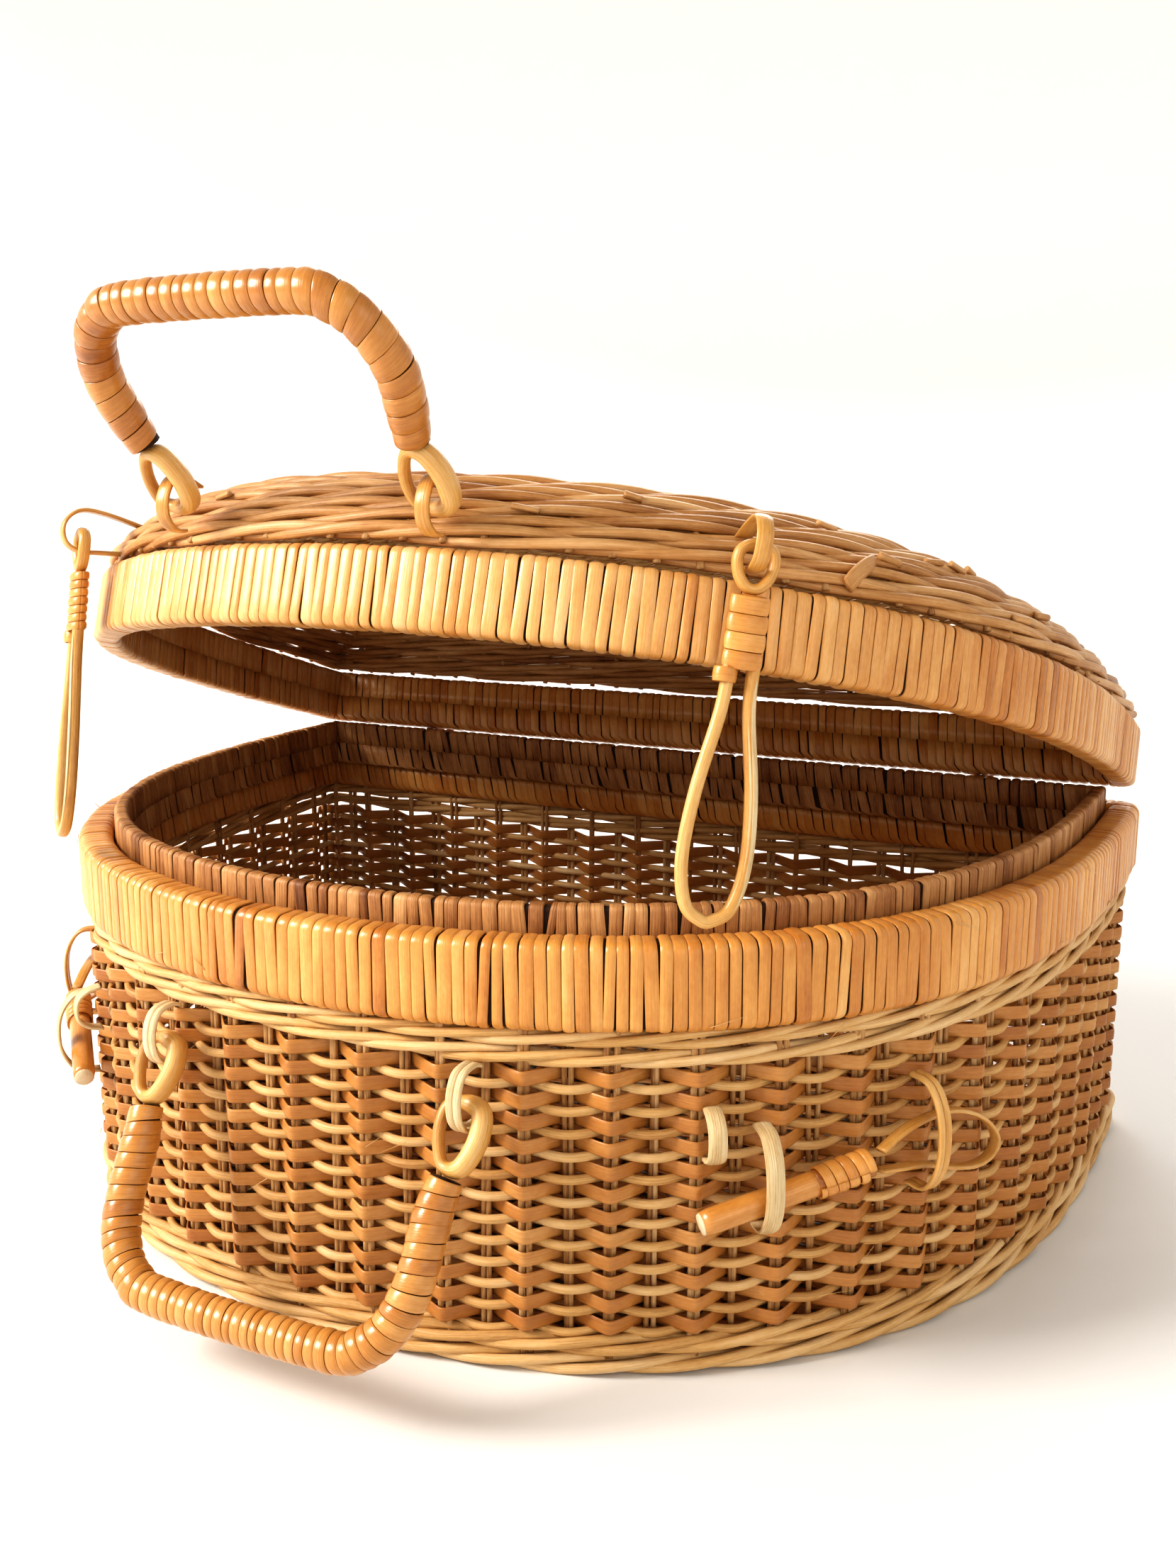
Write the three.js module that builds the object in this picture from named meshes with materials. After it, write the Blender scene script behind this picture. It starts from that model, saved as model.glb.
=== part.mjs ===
// A D-plan wicker picnic hamper with a domed lid, two cane-wrapped carrying handles, two loop hasps and two
// tethered pegs. Millimetres, +Z up. The origin is the middle of the flat underside; +X is to the right of
// someone facing the curved front, and +Y points to the straight, hinged back.
import * as THREE from 'three';
import { mergeVertices } from 'three/addons/utils/BufferGeometryUtils.js';

// Plan shape: a superellipse front, closed by a straight back edge with rounded corners.
const HALF_WIDTH = 250;
const DEPTH = 357.5;
const BACK_Y = DEPTH / 2;
const SIDE_POWER = 2.01;
const FRONT_POWER = 3.24;
const CORNER_RADIUS = 14;
const FRONT_STEPS = 56;
const CORNER_STEPS = 4;

// Heights and wall build-up. An inset is measured inwards from the plan outline.
const GAP = 0.3;
const FOOT_HEIGHT = 15;
const RIM_WALE_HEIGHT = 13.4;
const RIM_BOTTOM = 133.2;
const RIM_TOP = 166.5;
const RIM_THICKNESS = 15;
const LIP_TOP = 175.5;
const LIP_BOTTOM = 149.5;
const LIP_OUTER = 16;
const LIP_THICKNESS = 6.4;
const WALL_OUTER = 3;
const WALL_INNER = 12;
const FLOOR_THICKNESS = 7;

// Lid, drawn closed: heights are above the underside of the lid's rim.
const LID_INSET = 3;
const LID_RIM_THICKNESS = 12;
const LID_RIM_HEIGHT = 30.5;
const DOME_TOP = 78;
const DOME_POWER = 4.6;
const DOME_ROUNDING = 1.6;
const DOME_INSET = 4;
const DOME_THICKNESS = 6.5;
const DOME_SPLIT = 0.8;
const DOME_CENTRE_Y = -1;

// Hinge: the lashings cross behind the back edge, half way between the two rims.
const HINGE_BEHIND = 8;
const HINGE_ABOVE_RIM = 1.5;
const HINGE_BELOW_LID = 1.5;
const LID_REST_DEG = 16.45;
const LASHING_X = 168;
const LASHING_WIDTH = 5;
const LASHING_THICKNESS = 1.6;

// Carrying handles.
const HANDLE_TUBE_RADIUS = 7.25;
const HANDLE_CORNER = 21;
const EYE_LENGTH = 26;
const EYE_HALF_WIDTH = 8.2;
const EYE_CANE_RADIUS = 3.3;
const BASE_HANDLE_HALF = 69;
const BASE_HANDLE_Z = 108.5;
const BASE_HANDLE_Y = -176;
const BASE_HANDLE_REACH = 91.5;
const BASE_HANDLE_FLARE = -3.5;
const BASE_HANDLE_LEAN_DEG = 29;
const LID_HANDLE_X = -14;
const LID_HANDLE_HALF = 58;
const LID_HANDLE_Y = -176;
const LID_HANDLE_HEIGHT = 43;
const LID_HANDLE_REACH = 82;
const LID_HANDLE_FLARE = 4.5;
const LID_HANDLE_LEAN_DEG = 50.2;
const RING_WIDTH = 6;
const RING_THICKNESS = 1.8;

// Hasps hang from rings on the lid, just outside its rim.
const HASP_X = 146;
const HASP_STANDOFF = 11;
const HASP_HEIGHT = 40;
const HASP_LENGTH = 129.5;
const HASP_LEAN_IN_DEG = 4.5;
const HASP_CANE_RADIUS = 2.5;
const HASP_EYE_LENGTH = 17;
const HASP_NECK_LENGTH = 25;
const HASP_NECK_HALF = 6.8;
const HASP_LOOP_HALF = 11;

// Pegs, staples and tethers on the front quarters. Places along the wall are plan distances from the first staple.
const STAPLE_SPACING = 18.5;
const STAPLE_WIDTH = 7;
const STAPLE_THICKNESS = 1.8;
const PEG_RADIUS = 4.7;
const PEG_TILT_DEG = 12.5;
const PEG_HEADING_DEG = 43;
const PEG_STANDOFF = 5.6;
const PEG_TIP_BACK = 25;
const PEG_ROD_LENGTH = 44;
const PEG_NECK_RADIUS = 6;
const PEG_NECK_LENGTH = 22;
const PEG_Z = 71.5;
const TETHER_SPACING = 83;

const rad = THREE.MathUtils.degToRad;

function material(color, roughness) {
  return new THREE.MeshStandardMaterial({ color, roughness, metalness: 0 });
}

const looks = {
  binding: () => material(0xd9a05c, 0.42),
  pith: () => material(0xb98b5c, 0.75),
  weave: () => material(0xc48d52, 0.6),
  wale: () => material(0xdcb583, 0.6),
  handle: () => material(0xc58a4c, 0.4),
  cane: () => material(0xd2a367, 0.5),
  staple: () => material(0xd9c29a, 0.7),
};

// ---------- plan outline ----------

function frontCurve(t) {
  const c = Math.cos(t);
  const s = Math.sin(t);
  const x = HALF_WIDTH * Math.sign(c) * Math.abs(c) ** (2 / SIDE_POWER);
  return new THREE.Vector2(x, BACK_Y - DEPTH * Math.abs(s) ** (2 / FRONT_POWER));
}

function frontFrame(t) {
  const step = 1e-4;
  const point = frontCurve(t);
  const tangent = frontCurve(t - step).sub(frontCurve(t + step)).normalize();
  const outward = new THREE.Vector2(tangent.y, -tangent.x);
  return { point, tangent, outward };
}

// The outline's frame where it passes a given x, on the curved front.
function frameAtX(x) {
  let low = 1e-3;
  let high = Math.PI - 1e-3;
  for (let i = 0; i < 50; i++) {
    const middle = (low + high) / 2;
    if (frontCurve(middle).x > x) low = middle;
    else high = middle;
  }
  return frontFrame((low + high) / 2);
}

function insetFront(inset, radius) {
  const dense = [];
  for (let i = 1; i < 600; i++) {
    const { point, outward } = frontFrame(Math.PI - (Math.PI * i) / 600);
    const moved = point.clone().addScaledVector(outward, -inset);
    if (moved.y <= BACK_Y - inset - radius) dense.push(moved);
  }
  const lengths = [0];
  for (let i = 1; i < dense.length; i++) lengths.push(lengths[i - 1] + dense[i].distanceTo(dense[i - 1]));
  const total = lengths[lengths.length - 1];
  const points = [];
  let k = 0;
  for (let i = 0; i <= FRONT_STEPS; i++) {
    const want = (total * i) / FRONT_STEPS;
    while (k < dense.length - 2 && lengths[k + 1] < want) k++;
    const share = (want - lengths[k]) / (lengths[k + 1] - lengths[k]);
    points.push(dense[k].clone().lerp(dense[k + 1], share));
  }
  return points;
}

// Closed plan outline, anticlockwise from the left end of the front curve.
const outlineCache = new Map();
function outline(inset) {
  if (outlineCache.has(inset)) return outlineCache.get(inset);
  const radius = Math.max(CORNER_RADIUS - inset, 1.5);
  const points = insetFront(inset, radius);
  const cornerX = points[points.length - 1].x - radius;
  const cornerY = BACK_Y - inset - radius;
  for (const side of [1, -1]) {
    for (let i = 1; i <= CORNER_STEPS; i++) {
      const share = side > 0 ? i : CORNER_STEPS - i + 1;
      const angle = (Math.PI / 2) * ((share - (side > 0 ? 0 : 1)) / CORNER_STEPS);
      const x = side * (cornerX + radius * Math.cos(angle));
      points.push(new THREE.Vector2(x, cornerY + radius * Math.sin(angle)));
    }
  }
  points.pop();
  outlineCache.set(inset, points);
  return points;
}

function ringAt(inset, z) {
  return outline(inset).map((p) => new THREE.Vector3(p.x, p.y, z));
}

// ---------- solids from rings of points ----------

function solid(rings, { wrap = false, caps = false } = {}) {
  const positions = [];
  const index = [];
  const count = rings[0].length;
  rings.forEach((ring) => ring.forEach((p) => positions.push(p.x, p.y, p.z)));
  const last = wrap ? rings.length : rings.length - 1;
  for (let j = 0; j < last; j++) {
    const here = j * count;
    const next = ((j + 1) % rings.length) * count;
    for (let i = 0; i < count; i++) {
      const k = (i + 1) % count;
      index.push(here + i, here + k, next + k, here + i, next + k, next + i);
    }
  }
  if (caps) {
    addCap(positions, index, rings[0], 0, true);
    addCap(positions, index, rings[rings.length - 1], (rings.length - 1) * count, false);
  }
  return closedGeometry(positions, index);
}

function addCap(positions, index, ring, start, flip) {
  const centre = ring.reduce((sum, p) => sum.add(p), new THREE.Vector3()).divideScalar(ring.length);
  const middle = positions.length / 3;
  positions.push(centre.x, centre.y, centre.z);
  for (let i = 0; i < ring.length; i++) {
    const k = (i + 1) % ring.length;
    if (flip) index.push(middle, start + k, start + i);
    else index.push(middle, start + i, start + k);
  }
}

function signedVolume(positions, index) {
  const a = new THREE.Vector3();
  const b = new THREE.Vector3();
  const c = new THREE.Vector3();
  let sum = 0;
  for (let i = 0; i < index.length; i += 3) {
    a.fromArray(positions, index[i] * 3);
    b.fromArray(positions, index[i + 1] * 3);
    c.fromArray(positions, index[i + 2] * 3);
    sum += a.dot(b.cross(c));
  }
  return sum / 6;
}

function closedGeometry(positions, index) {
  if (signedVolume(positions, index) < 0) index.reverse();
  const geometry = new THREE.BufferGeometry();
  geometry.setAttribute('position', new THREE.Float32BufferAttribute(positions, 3));
  geometry.setIndex(index);
  return mergeVertices(geometry, 1e-4);
}

// A band that runs all round the plan; its section is a closed list of [inset, z].
function band(section) {
  return solid(section.map(([inset, z]) => ringAt(inset, z)), { wrap: true });
}

// A hoop's section with its four edges rounded by a chamfer.
function hoopSection(outer, inner, low, high, round) {
  return [
    [outer + round, low], [outer, low + round], [outer, high - round], [outer + round * 0.3, high - round * 0.3],
    [outer + round, high], [inner - round, high], [inner, high - round], [inner, low + round], [inner - round, low],
  ];
}

// ---------- solids swept along a path ----------

function circleSection(radius, sides) {
  return Array.from({ length: sides }, (_, i) => {
    const angle = (2 * Math.PI * (i + 0.5)) / sides;
    return [radius * Math.cos(angle), radius * Math.sin(angle)];
  });
}

function stripSection(width, thickness) {
  const w = width / 2;
  const t = thickness / 2;
  return [[w, t], [-w, t], [-w, -t], [w, -t]];
}

// Sweeps a section along points. Its first coordinate lies along side, its second across the path.
function sweep(points, section, side, closed = false) {
  const count = points.length;
  const rings = points.map((point, i) => {
    const before = closed ? points[(i + count - 1) % count] : points[Math.max(i - 1, 0)];
    const after = closed ? points[(i + 1) % count] : points[Math.min(i + 1, count - 1)];
    const tangent = after.clone().sub(before).normalize();
    const along = side.clone().addScaledVector(tangent, -side.dot(tangent)).normalize();
    const across = tangent.clone().cross(along);
    return section.map(([a, b]) => point.clone().addScaledVector(along, a).addScaledVector(across, b));
  });
  return solid(rings, closed ? { wrap: true } : { caps: true });
}

function smooth(points, steps, closed = false) {
  const curve = new THREE.CatmullRomCurve3(points, closed, 'centripetal');
  const sampled = curve.getSpacedPoints(steps);
  if (closed) sampled.pop();
  return sampled;
}

const X_AXIS = new THREE.Vector3(1, 0, 0);
const Y_AXIS = new THREE.Vector3(0, 1, 0);

function add(parent, name, geometry, look) {
  const mesh = new THREE.Mesh(geometry, look());
  mesh.name = name;
  parent.add(mesh);
  return mesh;
}

// ---------- basket body ----------

function floorPanel() {
  const inset = WALL_INNER + 1 + GAP;
  return solid([ringAt(inset, 0), ringAt(inset, FLOOR_THICKNESS)], { caps: true });
}

function bodyBands(basket) {
  add(basket, 'floor_panel', floorPanel(), looks.weave);
  const foot = hoopSection(0, WALL_INNER + 1, 0, FOOT_HEIGHT, 2.5);
  add(basket, 'foot_wale', band(foot), looks.wale);
  const waleBottom = RIM_BOTTOM - GAP - RIM_WALE_HEIGHT;
  const wall = [
    [WALL_OUTER, FOOT_HEIGHT + GAP], [WALL_OUTER, waleBottom - GAP],
    [WALL_INNER, waleBottom - GAP], [WALL_INNER, FOOT_HEIGHT + GAP],
  ];
  add(basket, 'wall_weave', band(wall), looks.weave);
  const wale = hoopSection(1.5, WALL_INNER + 1.5, waleBottom, RIM_BOTTOM - GAP, 2);
  add(basket, 'rim_wale', band(wale), looks.wale);
  add(basket, 'rim_hoop', band(hoopSection(0, RIM_THICKNESS, RIM_BOTTOM, RIM_TOP, 4)), looks.binding);
  const lip = hoopSection(LIP_OUTER, LIP_OUTER + LIP_THICKNESS, LIP_BOTTOM, LIP_TOP, 1.6);
  add(basket, 'lip_hoop', band(lip), looks.pith);
}

// ---------- hinge lashings ----------

function lashingPoint(behind, z) {
  return new THREE.Vector3(0, BACK_Y + behind, z);
}

function lashing(points, x) {
  const strip = sweep(smooth(points, 30), stripSection(LASHING_WIDTH, LASHING_THICKNESS), X_AXIS);
  return strip.translate(x, 0, 0);
}

// The lower half of a figure-of-eight lashing: up the back of the base rim, round the hinge line, over the rim.
function baseLashing(x) {
  const t = LASHING_THICKNESS / 2 + GAP + 0.1;
  const hinge = RIM_TOP + HINGE_ABOVE_RIM;
  return lashing([
    lashingPoint(t, RIM_BOTTOM + 3), lashingPoint(t, RIM_TOP - 14), lashingPoint(t + 3, RIM_TOP - 6),
    lashingPoint(HINGE_BEHIND + 3, hinge - 3), lashingPoint(HINGE_BEHIND + 3.6, hinge + 1),
    lashingPoint(HINGE_BEHIND + 0.5, hinge + 3), lashingPoint(HINGE_BEHIND - 4, hinge + 1),
    lashingPoint(0, RIM_TOP + t), lashingPoint(-5, RIM_TOP + t), lashingPoint(-RIM_THICKNESS + 2, RIM_TOP + t),
  ], x);
}

// The upper half, drawn with the lid closed: down the back of the lid's rim, round the hinge line, under the rim.
function lidLashing(x) {
  const t = LASHING_THICKNESS / 2 + GAP + 0.1;
  const outer = -LID_INSET;
  const inner = outer - LID_RIM_THICKNESS;
  const hinge = -HINGE_BELOW_LID;
  return lashing([
    lashingPoint(outer + t, LID_RIM_HEIGHT - 2), lashingPoint(outer + t, 14), lashingPoint(outer + t + 3, 6),
    lashingPoint(HINGE_BEHIND + 3, hinge + 3), lashingPoint(HINGE_BEHIND + 3.6, hinge - 1),
    lashingPoint(HINGE_BEHIND + 0.5, hinge - 3), lashingPoint(HINGE_BEHIND - 4, hinge - 1),
    lashingPoint(outer, -t), lashingPoint(outer - 4, -t), lashingPoint(inner + 2, -t),
  ], x);
}

// ---------- lid ----------

function domeHeight(scale) {
  return LID_RIM_HEIGHT + (DOME_TOP - LID_RIM_HEIGHT) * Math.max(1 - scale ** DOME_POWER, 0) ** (1 / DOME_ROUNDING);
}

// One plan ring of the dome, scaled about its middle. A drop of the dome's thickness gives the inside.
function domeRing(scale, drop) {
  const z = domeHeight(scale) - drop;
  return outline(DOME_INSET).map((p) => {
    const y = DOME_CENTRE_Y + (p.y - DOME_CENTRE_Y) * scale;
    return new THREE.Vector3(p.x * scale, y, z);
  });
}

function sideWale() {
  const scales = [0.998, 0.985, 0.965, 0.94, 0.91, 0.875, 0.84, DOME_SPLIT + 0.002];
  const outer = scales.map((scale) => domeRing(scale, -GAP));
  const inner = scales.slice().reverse().map((scale) => domeRing(scale - 0.03, DOME_THICKNESS));
  const foot = ringAt(DOME_INSET + 6, LID_RIM_HEIGHT + GAP);
  return solid([...outer, ...inner, foot], { wrap: true });
}

function topPanel() {
  const scales = [DOME_SPLIT, 0.7, 0.58, 0.42, 0.22];
  const outside = scales.map((scale) => domeRing(scale - 0.002, 0));
  const inside = scales.slice().reverse().map((scale) => domeRing(scale - 0.032, DOME_THICKNESS));
  return solid([...inside, ...outside], { caps: true });
}

function lidBands(lid) {
  const rim = hoopSection(LID_INSET, LID_INSET + LID_RIM_THICKNESS, 0, LID_RIM_HEIGHT, 3);
  add(lid, 'lid_rim_hoop', band(rim), looks.binding);
  add(lid, 'lid_side_wale', sideWale(), looks.wale);
  add(lid, 'lid_top_panel', topPanel(), looks.weave);
}

// ---------- rings and handles ----------

// A flat cane ring that leaves the weave above a pivot, passes round it and goes back in below.
// Its points are [distance out from the pivot, height above the pivot].
function ring(points, width, thickness) {
  const path = points.map(([out, up]) => new THREE.Vector3(0, -out, up));
  return sweep(smooth(path, 22), stripSection(width, thickness), X_AXIS);
}

// Teardrop eye in the XZ plane: a bar at the pivot, its limbs meeting at the neck.
function eye(length, halfWidth, radius) {
  const points = [
    [0, 0], [halfWidth * 0.8, -2], [halfWidth, -length * 0.36], [halfWidth * 0.8, -length * 0.66],
    [radius * 0.9, -length + radius], [-radius * 0.9, -length + radius], [-halfWidth * 0.8, -length * 0.66],
    [-halfWidth, -length * 0.36], [-halfWidth * 0.8, -2],
  ];
  const path = points.map(([x, z]) => new THREE.Vector3(x, 0, z));
  return sweep(smooth(path, 26, true), circleSection(radius, 8), Y_AXIS, true);
}

// U-shaped grip hanging from two pivots, in the XZ plane. Its legs stand out by flare from above their pivots.
function grip(half, reach, flare) {
  const top = -(EYE_LENGTH + 3 * GAP);
  const bottom = -reach;
  const corner = HANDLE_CORNER;
  const wide = half + flare;
  const points = [];
  for (const side of [-1, 1]) {
    const leg = [
      [half + flare * 0.2, top], [half + flare * 0.7, top - 12], [wide, bottom + corner + 7],
      [wide - 5, bottom + corner - 8], [wide - 14, bottom + 4], [wide - corner - 8, bottom],
    ].map(([x, z]) => new THREE.Vector3(side * x, 0, z));
    points.push(...(side < 0 ? leg : leg.reverse()));
  }
  return sweep(smooth(points, 46), circleSection(HANDLE_TUBE_RADIUS, 10), Y_AXIS);
}

function handle(parent, name, half, reach, flare) {
  for (const [label, x] of [['left', -half], ['right', half]]) {
    const loop = eye(EYE_LENGTH, EYE_HALF_WIDTH, EYE_CANE_RADIUS).translate(x, 0, 0);
    add(parent, `${name}_eye_${label}`, loop, looks.cane);
  }
  add(parent, `${name}_grip`, grip(half, reach, flare), looks.handle);
}

function baseHandle(basket) {
  const ringPath = [[-6.6, 11], [-2, 12.6], [4.6, 11.4], [8, 5], [7.6, -3], [4, -7.8], [-1.5, -9.6], [-7.4, -9.6]];
  for (const [label, x] of [['left', -BASE_HANDLE_HALF], ['right', BASE_HANDLE_HALF]]) {
    const loop = ring(ringPath, RING_WIDTH, RING_THICKNESS).translate(x, BASE_HANDLE_Y, BASE_HANDLE_Z);
    add(basket, `base_handle_ring_${label}`, loop, looks.cane);
  }
  const pivot = new THREE.Group();
  pivot.position.set(0, BASE_HANDLE_Y, BASE_HANDLE_Z);
  pivot.rotation.x = -rad(BASE_HANDLE_LEAN_DEG);
  handle(pivot, 'base_handle', BASE_HANDLE_HALF, BASE_HANDLE_REACH, BASE_HANDLE_FLARE);
  basket.add(pivot);
}

function lidHandle(lid) {
  const ringPath = [[-8.5, 9.4], [0, 10.4], [6, 8.4], [8.6, 1], [6.8, -5.8], [2, -8.8], [-3.4, -8]];
  for (const [label, x] of [['left', -LID_HANDLE_HALF], ['right', LID_HANDLE_HALF]]) {
    const loop = ring(ringPath, RING_WIDTH, RING_THICKNESS);
    loop.translate(LID_HANDLE_X + x, LID_HANDLE_Y, LID_HANDLE_HEIGHT);
    add(lid, `lid_handle_ring_${label}`, loop, looks.cane);
  }
  const pivot = new THREE.Group();
  pivot.position.set(LID_HANDLE_X, LID_HANDLE_Y, LID_HANDLE_HEIGHT);
  pivot.rotation.x = Math.PI + rad(LID_HANDLE_LEAN_DEG);
  handle(pivot, 'lid_handle', LID_HANDLE_HALF, LID_HANDLE_REACH, LID_HANDLE_FLARE);
  lid.add(pivot);
}

// ---------- hasps ----------

// A group standing on the outline at x, with +X along the wall and -Y pointing out from it.
function wallGroup(x, out, z) {
  const { point, tangent, outward } = frameAtX(x);
  const group = new THREE.Group();
  group.position.set(point.x + outward.x * out, point.y + outward.y * out, z);
  group.rotation.z = Math.atan2(tangent.y, tangent.x);
  return group;
}

function haspLoop() {
  const top = -(HASP_EYE_LENGTH + HASP_NECK_LENGTH + GAP);
  const end = -HASP_LENGTH + HASP_CANE_RADIUS;
  const w = HASP_LOOP_HALF;
  const half = [[3.2, top], [4.6, top - 14], [w - 1.4, top - 42], [w, end + 20], [w * 0.72, end + 5], [2, end]];
  const left = half.map(([x, z]) => new THREE.Vector3(-x, 0, z));
  const right = half.slice().reverse().map(([x, z]) => new THREE.Vector3(x, 0, z));
  return sweep(smooth([...left, ...right], 44), circleSection(HASP_CANE_RADIUS, 8), Y_AXIS);
}

function neckBinding(top, length, halfWidth, halfThickness) {
  const turn = (z) => circleSection(1, 12).map(([a, b]) => new THREE.Vector3(a * halfWidth, b * halfThickness, z));
  return solid([turn(top), turn(top - length)], { caps: true });
}

function hasp(lid, label, side) {
  const seat = wallGroup(side * HASP_X, HASP_STANDOFF, HASP_HEIGHT);
  const ringPath = [[-20, 7.5], [-8, 9], [2, 8.2], [7.2, 2], [6, -5], [0.5, -7.8], [-7, -6.8], [-13.6, -5.6]];
  add(seat, `hasp_ring_${label}`, ring(ringPath, RING_WIDTH, RING_THICKNESS), looks.cane);
  const swing = new THREE.Group();
  swing.rotation.x = rad(HASP_LEAN_IN_DEG);
  add(swing, `hasp_eye_${label}`, eye(HASP_EYE_LENGTH, 6.4, 2.2), looks.cane);
  const binding = neckBinding(-HASP_EYE_LENGTH - GAP, HASP_NECK_LENGTH - GAP, HASP_NECK_HALF, 3.6);
  add(swing, `hasp_binding_${label}`, binding, looks.binding);
  add(swing, `hasp_loop_${label}`, haspLoop(), looks.cane);
  seat.add(swing);
  lid.add(seat);
}

// ---------- pegs ----------

// A flat cane staple bowed out from the wall; low and high are heights of its ends.
function staple(low, high, bow, width) {
  const points = [
    [0.3, high], [bow * 0.62, high - 1.5], [bow, high - (high - low) * 0.3],
    [bow, low + (high - low) * 0.3], [bow * 0.62, low + 1.5], [0.3, low],
  ].map(([out, z]) => new THREE.Vector3(0, -out, z));
  return sweep(smooth(points, 18), stripSection(width, STAPLE_THICKNESS), X_AXIS);
}

function wallStaple(basket, name, x, low, high, bow, width) {
  const seat = wallGroup(x, -WALL_OUTER + STAPLE_THICKNESS / 2, 0);
  add(seat, name, staple(low, high, bow, width), looks.staple);
  basket.add(seat);
}

// The plan point a given distance along the wall from x, going away from the middle of the front.
function alongWall(x, distance) {
  const side = Math.sign(x);
  let at = frameAtX(x);
  for (let i = 0; i < 200; i++) {
    const next = at.point.x + (side * Math.abs(at.tangent.x) * distance) / 200;
    at = frameAtX(next);
  }
  return at;
}

// The strap loop follows the wall: stations are [distance along the wall, out from it, middle height, half height].
function pegLoop(side) {
  const stations = [
    [61.6, 7.4, 81, 3.8], [72, 5.2, 82, 7], [84, 3.8, 82, 9.2], [98, 3, 79.4, 11.4], [112, 2.8, 75, 10.6],
    [122, 2.8, 71.6, 6.4],
  ];
  const place = ([along, out, middle], up) => {
    const { point, outward } = alongWall(side * HASP_X, along);
    return new THREE.Vector3(point.x + outward.x * out, point.y + outward.y * out, middle + up);
  };
  const upper = stations.map((station) => place(station, station[3]));
  const lower = stations.map((station) => place(station, -station[3])).reverse();
  const end = place([126.5, 2.8, 70.4], 0);
  const { outward } = alongWall(side * HASP_X, 92);
  const across = new THREE.Vector3(outward.x, outward.y, 0);
  return sweep(smooth([...upper, end, ...lower], 44), stripSection(5, 2), across);
}

function peg(basket, label, side) {
  const hold = alongWall(side * HASP_X, STAPLE_SPACING);
  const heading = rad(PEG_HEADING_DEG);
  const tilt = rad(PEG_TILT_DEG);
  const direction = new THREE.Vector3(
    side * Math.cos(heading) * Math.cos(tilt), Math.sin(heading) * Math.cos(tilt), Math.sin(tilt),
  );
  const middle = hold.point.clone().addScaledVector(hold.outward, PEG_STANDOFF);
  const through = new THREE.Vector3(middle.x, middle.y, PEG_Z);
  const place = (mesh, distance) => {
    mesh.quaternion.setFromUnitVectors(Y_AXIS, direction);
    mesh.position.copy(through).addScaledVector(direction, distance);
  };
  const rod = add(basket, `peg_${label}`, cylinder(PEG_RADIUS, PEG_ROD_LENGTH, 12), looks.handle);
  place(rod, PEG_ROD_LENGTH / 2 - PEG_TIP_BACK);
  const neckStart = PEG_ROD_LENGTH - PEG_TIP_BACK + GAP;
  const neck = add(basket, `peg_binding_${label}`, cylinder(PEG_NECK_RADIUS, PEG_NECK_LENGTH, 12), looks.binding);
  place(neck, neckStart + PEG_NECK_LENGTH / 2);
  add(basket, `peg_loop_${label}`, pegLoop(side), looks.cane);
}

function cylinder(radius, length, sides) {
  const geometry = new THREE.CylinderGeometry(radius, radius, length, sides);
  geometry.deleteAttribute('normal');
  geometry.deleteAttribute('uv');
  return mergeVertices(geometry, 1e-4);
}

function closure(basket, label, side) {
  const hold = alongWall(side * HASP_X, STAPLE_SPACING);
  const tether = alongWall(side * HASP_X, TETHER_SPACING);
  wallStaple(basket, `inner_staple_${label}`, side * HASP_X, 86.4, 104.4, 10, STAPLE_WIDTH);
  wallStaple(basket, `outer_staple_${label}`, hold.point.x, 60, 97, 15.6, STAPLE_WIDTH);
  wallStaple(basket, `tether_ring_${label}`, tether.point.x, 65, 107, 16.5, 6);
  peg(basket, label, side);
}

// ---------- assembly ----------

const hamper = new THREE.Group();
bodyBands(hamper);
baseHandle(hamper);

const lidPivot = new THREE.Group();
lidPivot.position.set(0, BACK_Y + HINGE_BEHIND, RIM_TOP + HINGE_ABOVE_RIM);
lidPivot.rotation.x = -rad(LID_REST_DEG);
const lid = new THREE.Group();
lid.position.set(0, -(BACK_Y + HINGE_BEHIND), HINGE_BELOW_LID);
lidBands(lid);
lidHandle(lid);
lidPivot.add(lid);
hamper.add(lidPivot);

for (const [label, side] of [['left', -1], ['right', 1]]) {
  hasp(lid, label, side);
  closure(hamper, label, side);
  add(hamper, `hinge_lashing_base_${label}`, baseLashing(side * LASHING_X - 3.2), looks.pith);
  add(lid, `hinge_lashing_lid_${label}`, lidLashing(side * LASHING_X + 3.2), looks.pith);
}

export default hamper;
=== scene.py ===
import math

import bpy
import numpy as np
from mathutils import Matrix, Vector


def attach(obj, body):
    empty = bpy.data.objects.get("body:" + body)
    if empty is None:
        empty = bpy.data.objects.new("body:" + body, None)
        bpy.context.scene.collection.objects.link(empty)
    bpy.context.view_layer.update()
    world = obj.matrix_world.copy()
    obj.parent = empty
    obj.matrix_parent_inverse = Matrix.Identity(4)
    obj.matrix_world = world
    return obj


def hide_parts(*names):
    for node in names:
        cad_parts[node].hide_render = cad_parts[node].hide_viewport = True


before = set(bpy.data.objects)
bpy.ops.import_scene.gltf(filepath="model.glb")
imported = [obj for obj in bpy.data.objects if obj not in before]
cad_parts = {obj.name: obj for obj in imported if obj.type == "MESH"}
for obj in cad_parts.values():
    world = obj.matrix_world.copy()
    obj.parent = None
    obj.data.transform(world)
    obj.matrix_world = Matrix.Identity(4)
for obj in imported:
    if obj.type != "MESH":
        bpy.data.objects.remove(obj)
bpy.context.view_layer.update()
RANDOM = np.random.default_rng(11)
MM = 0.001

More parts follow.
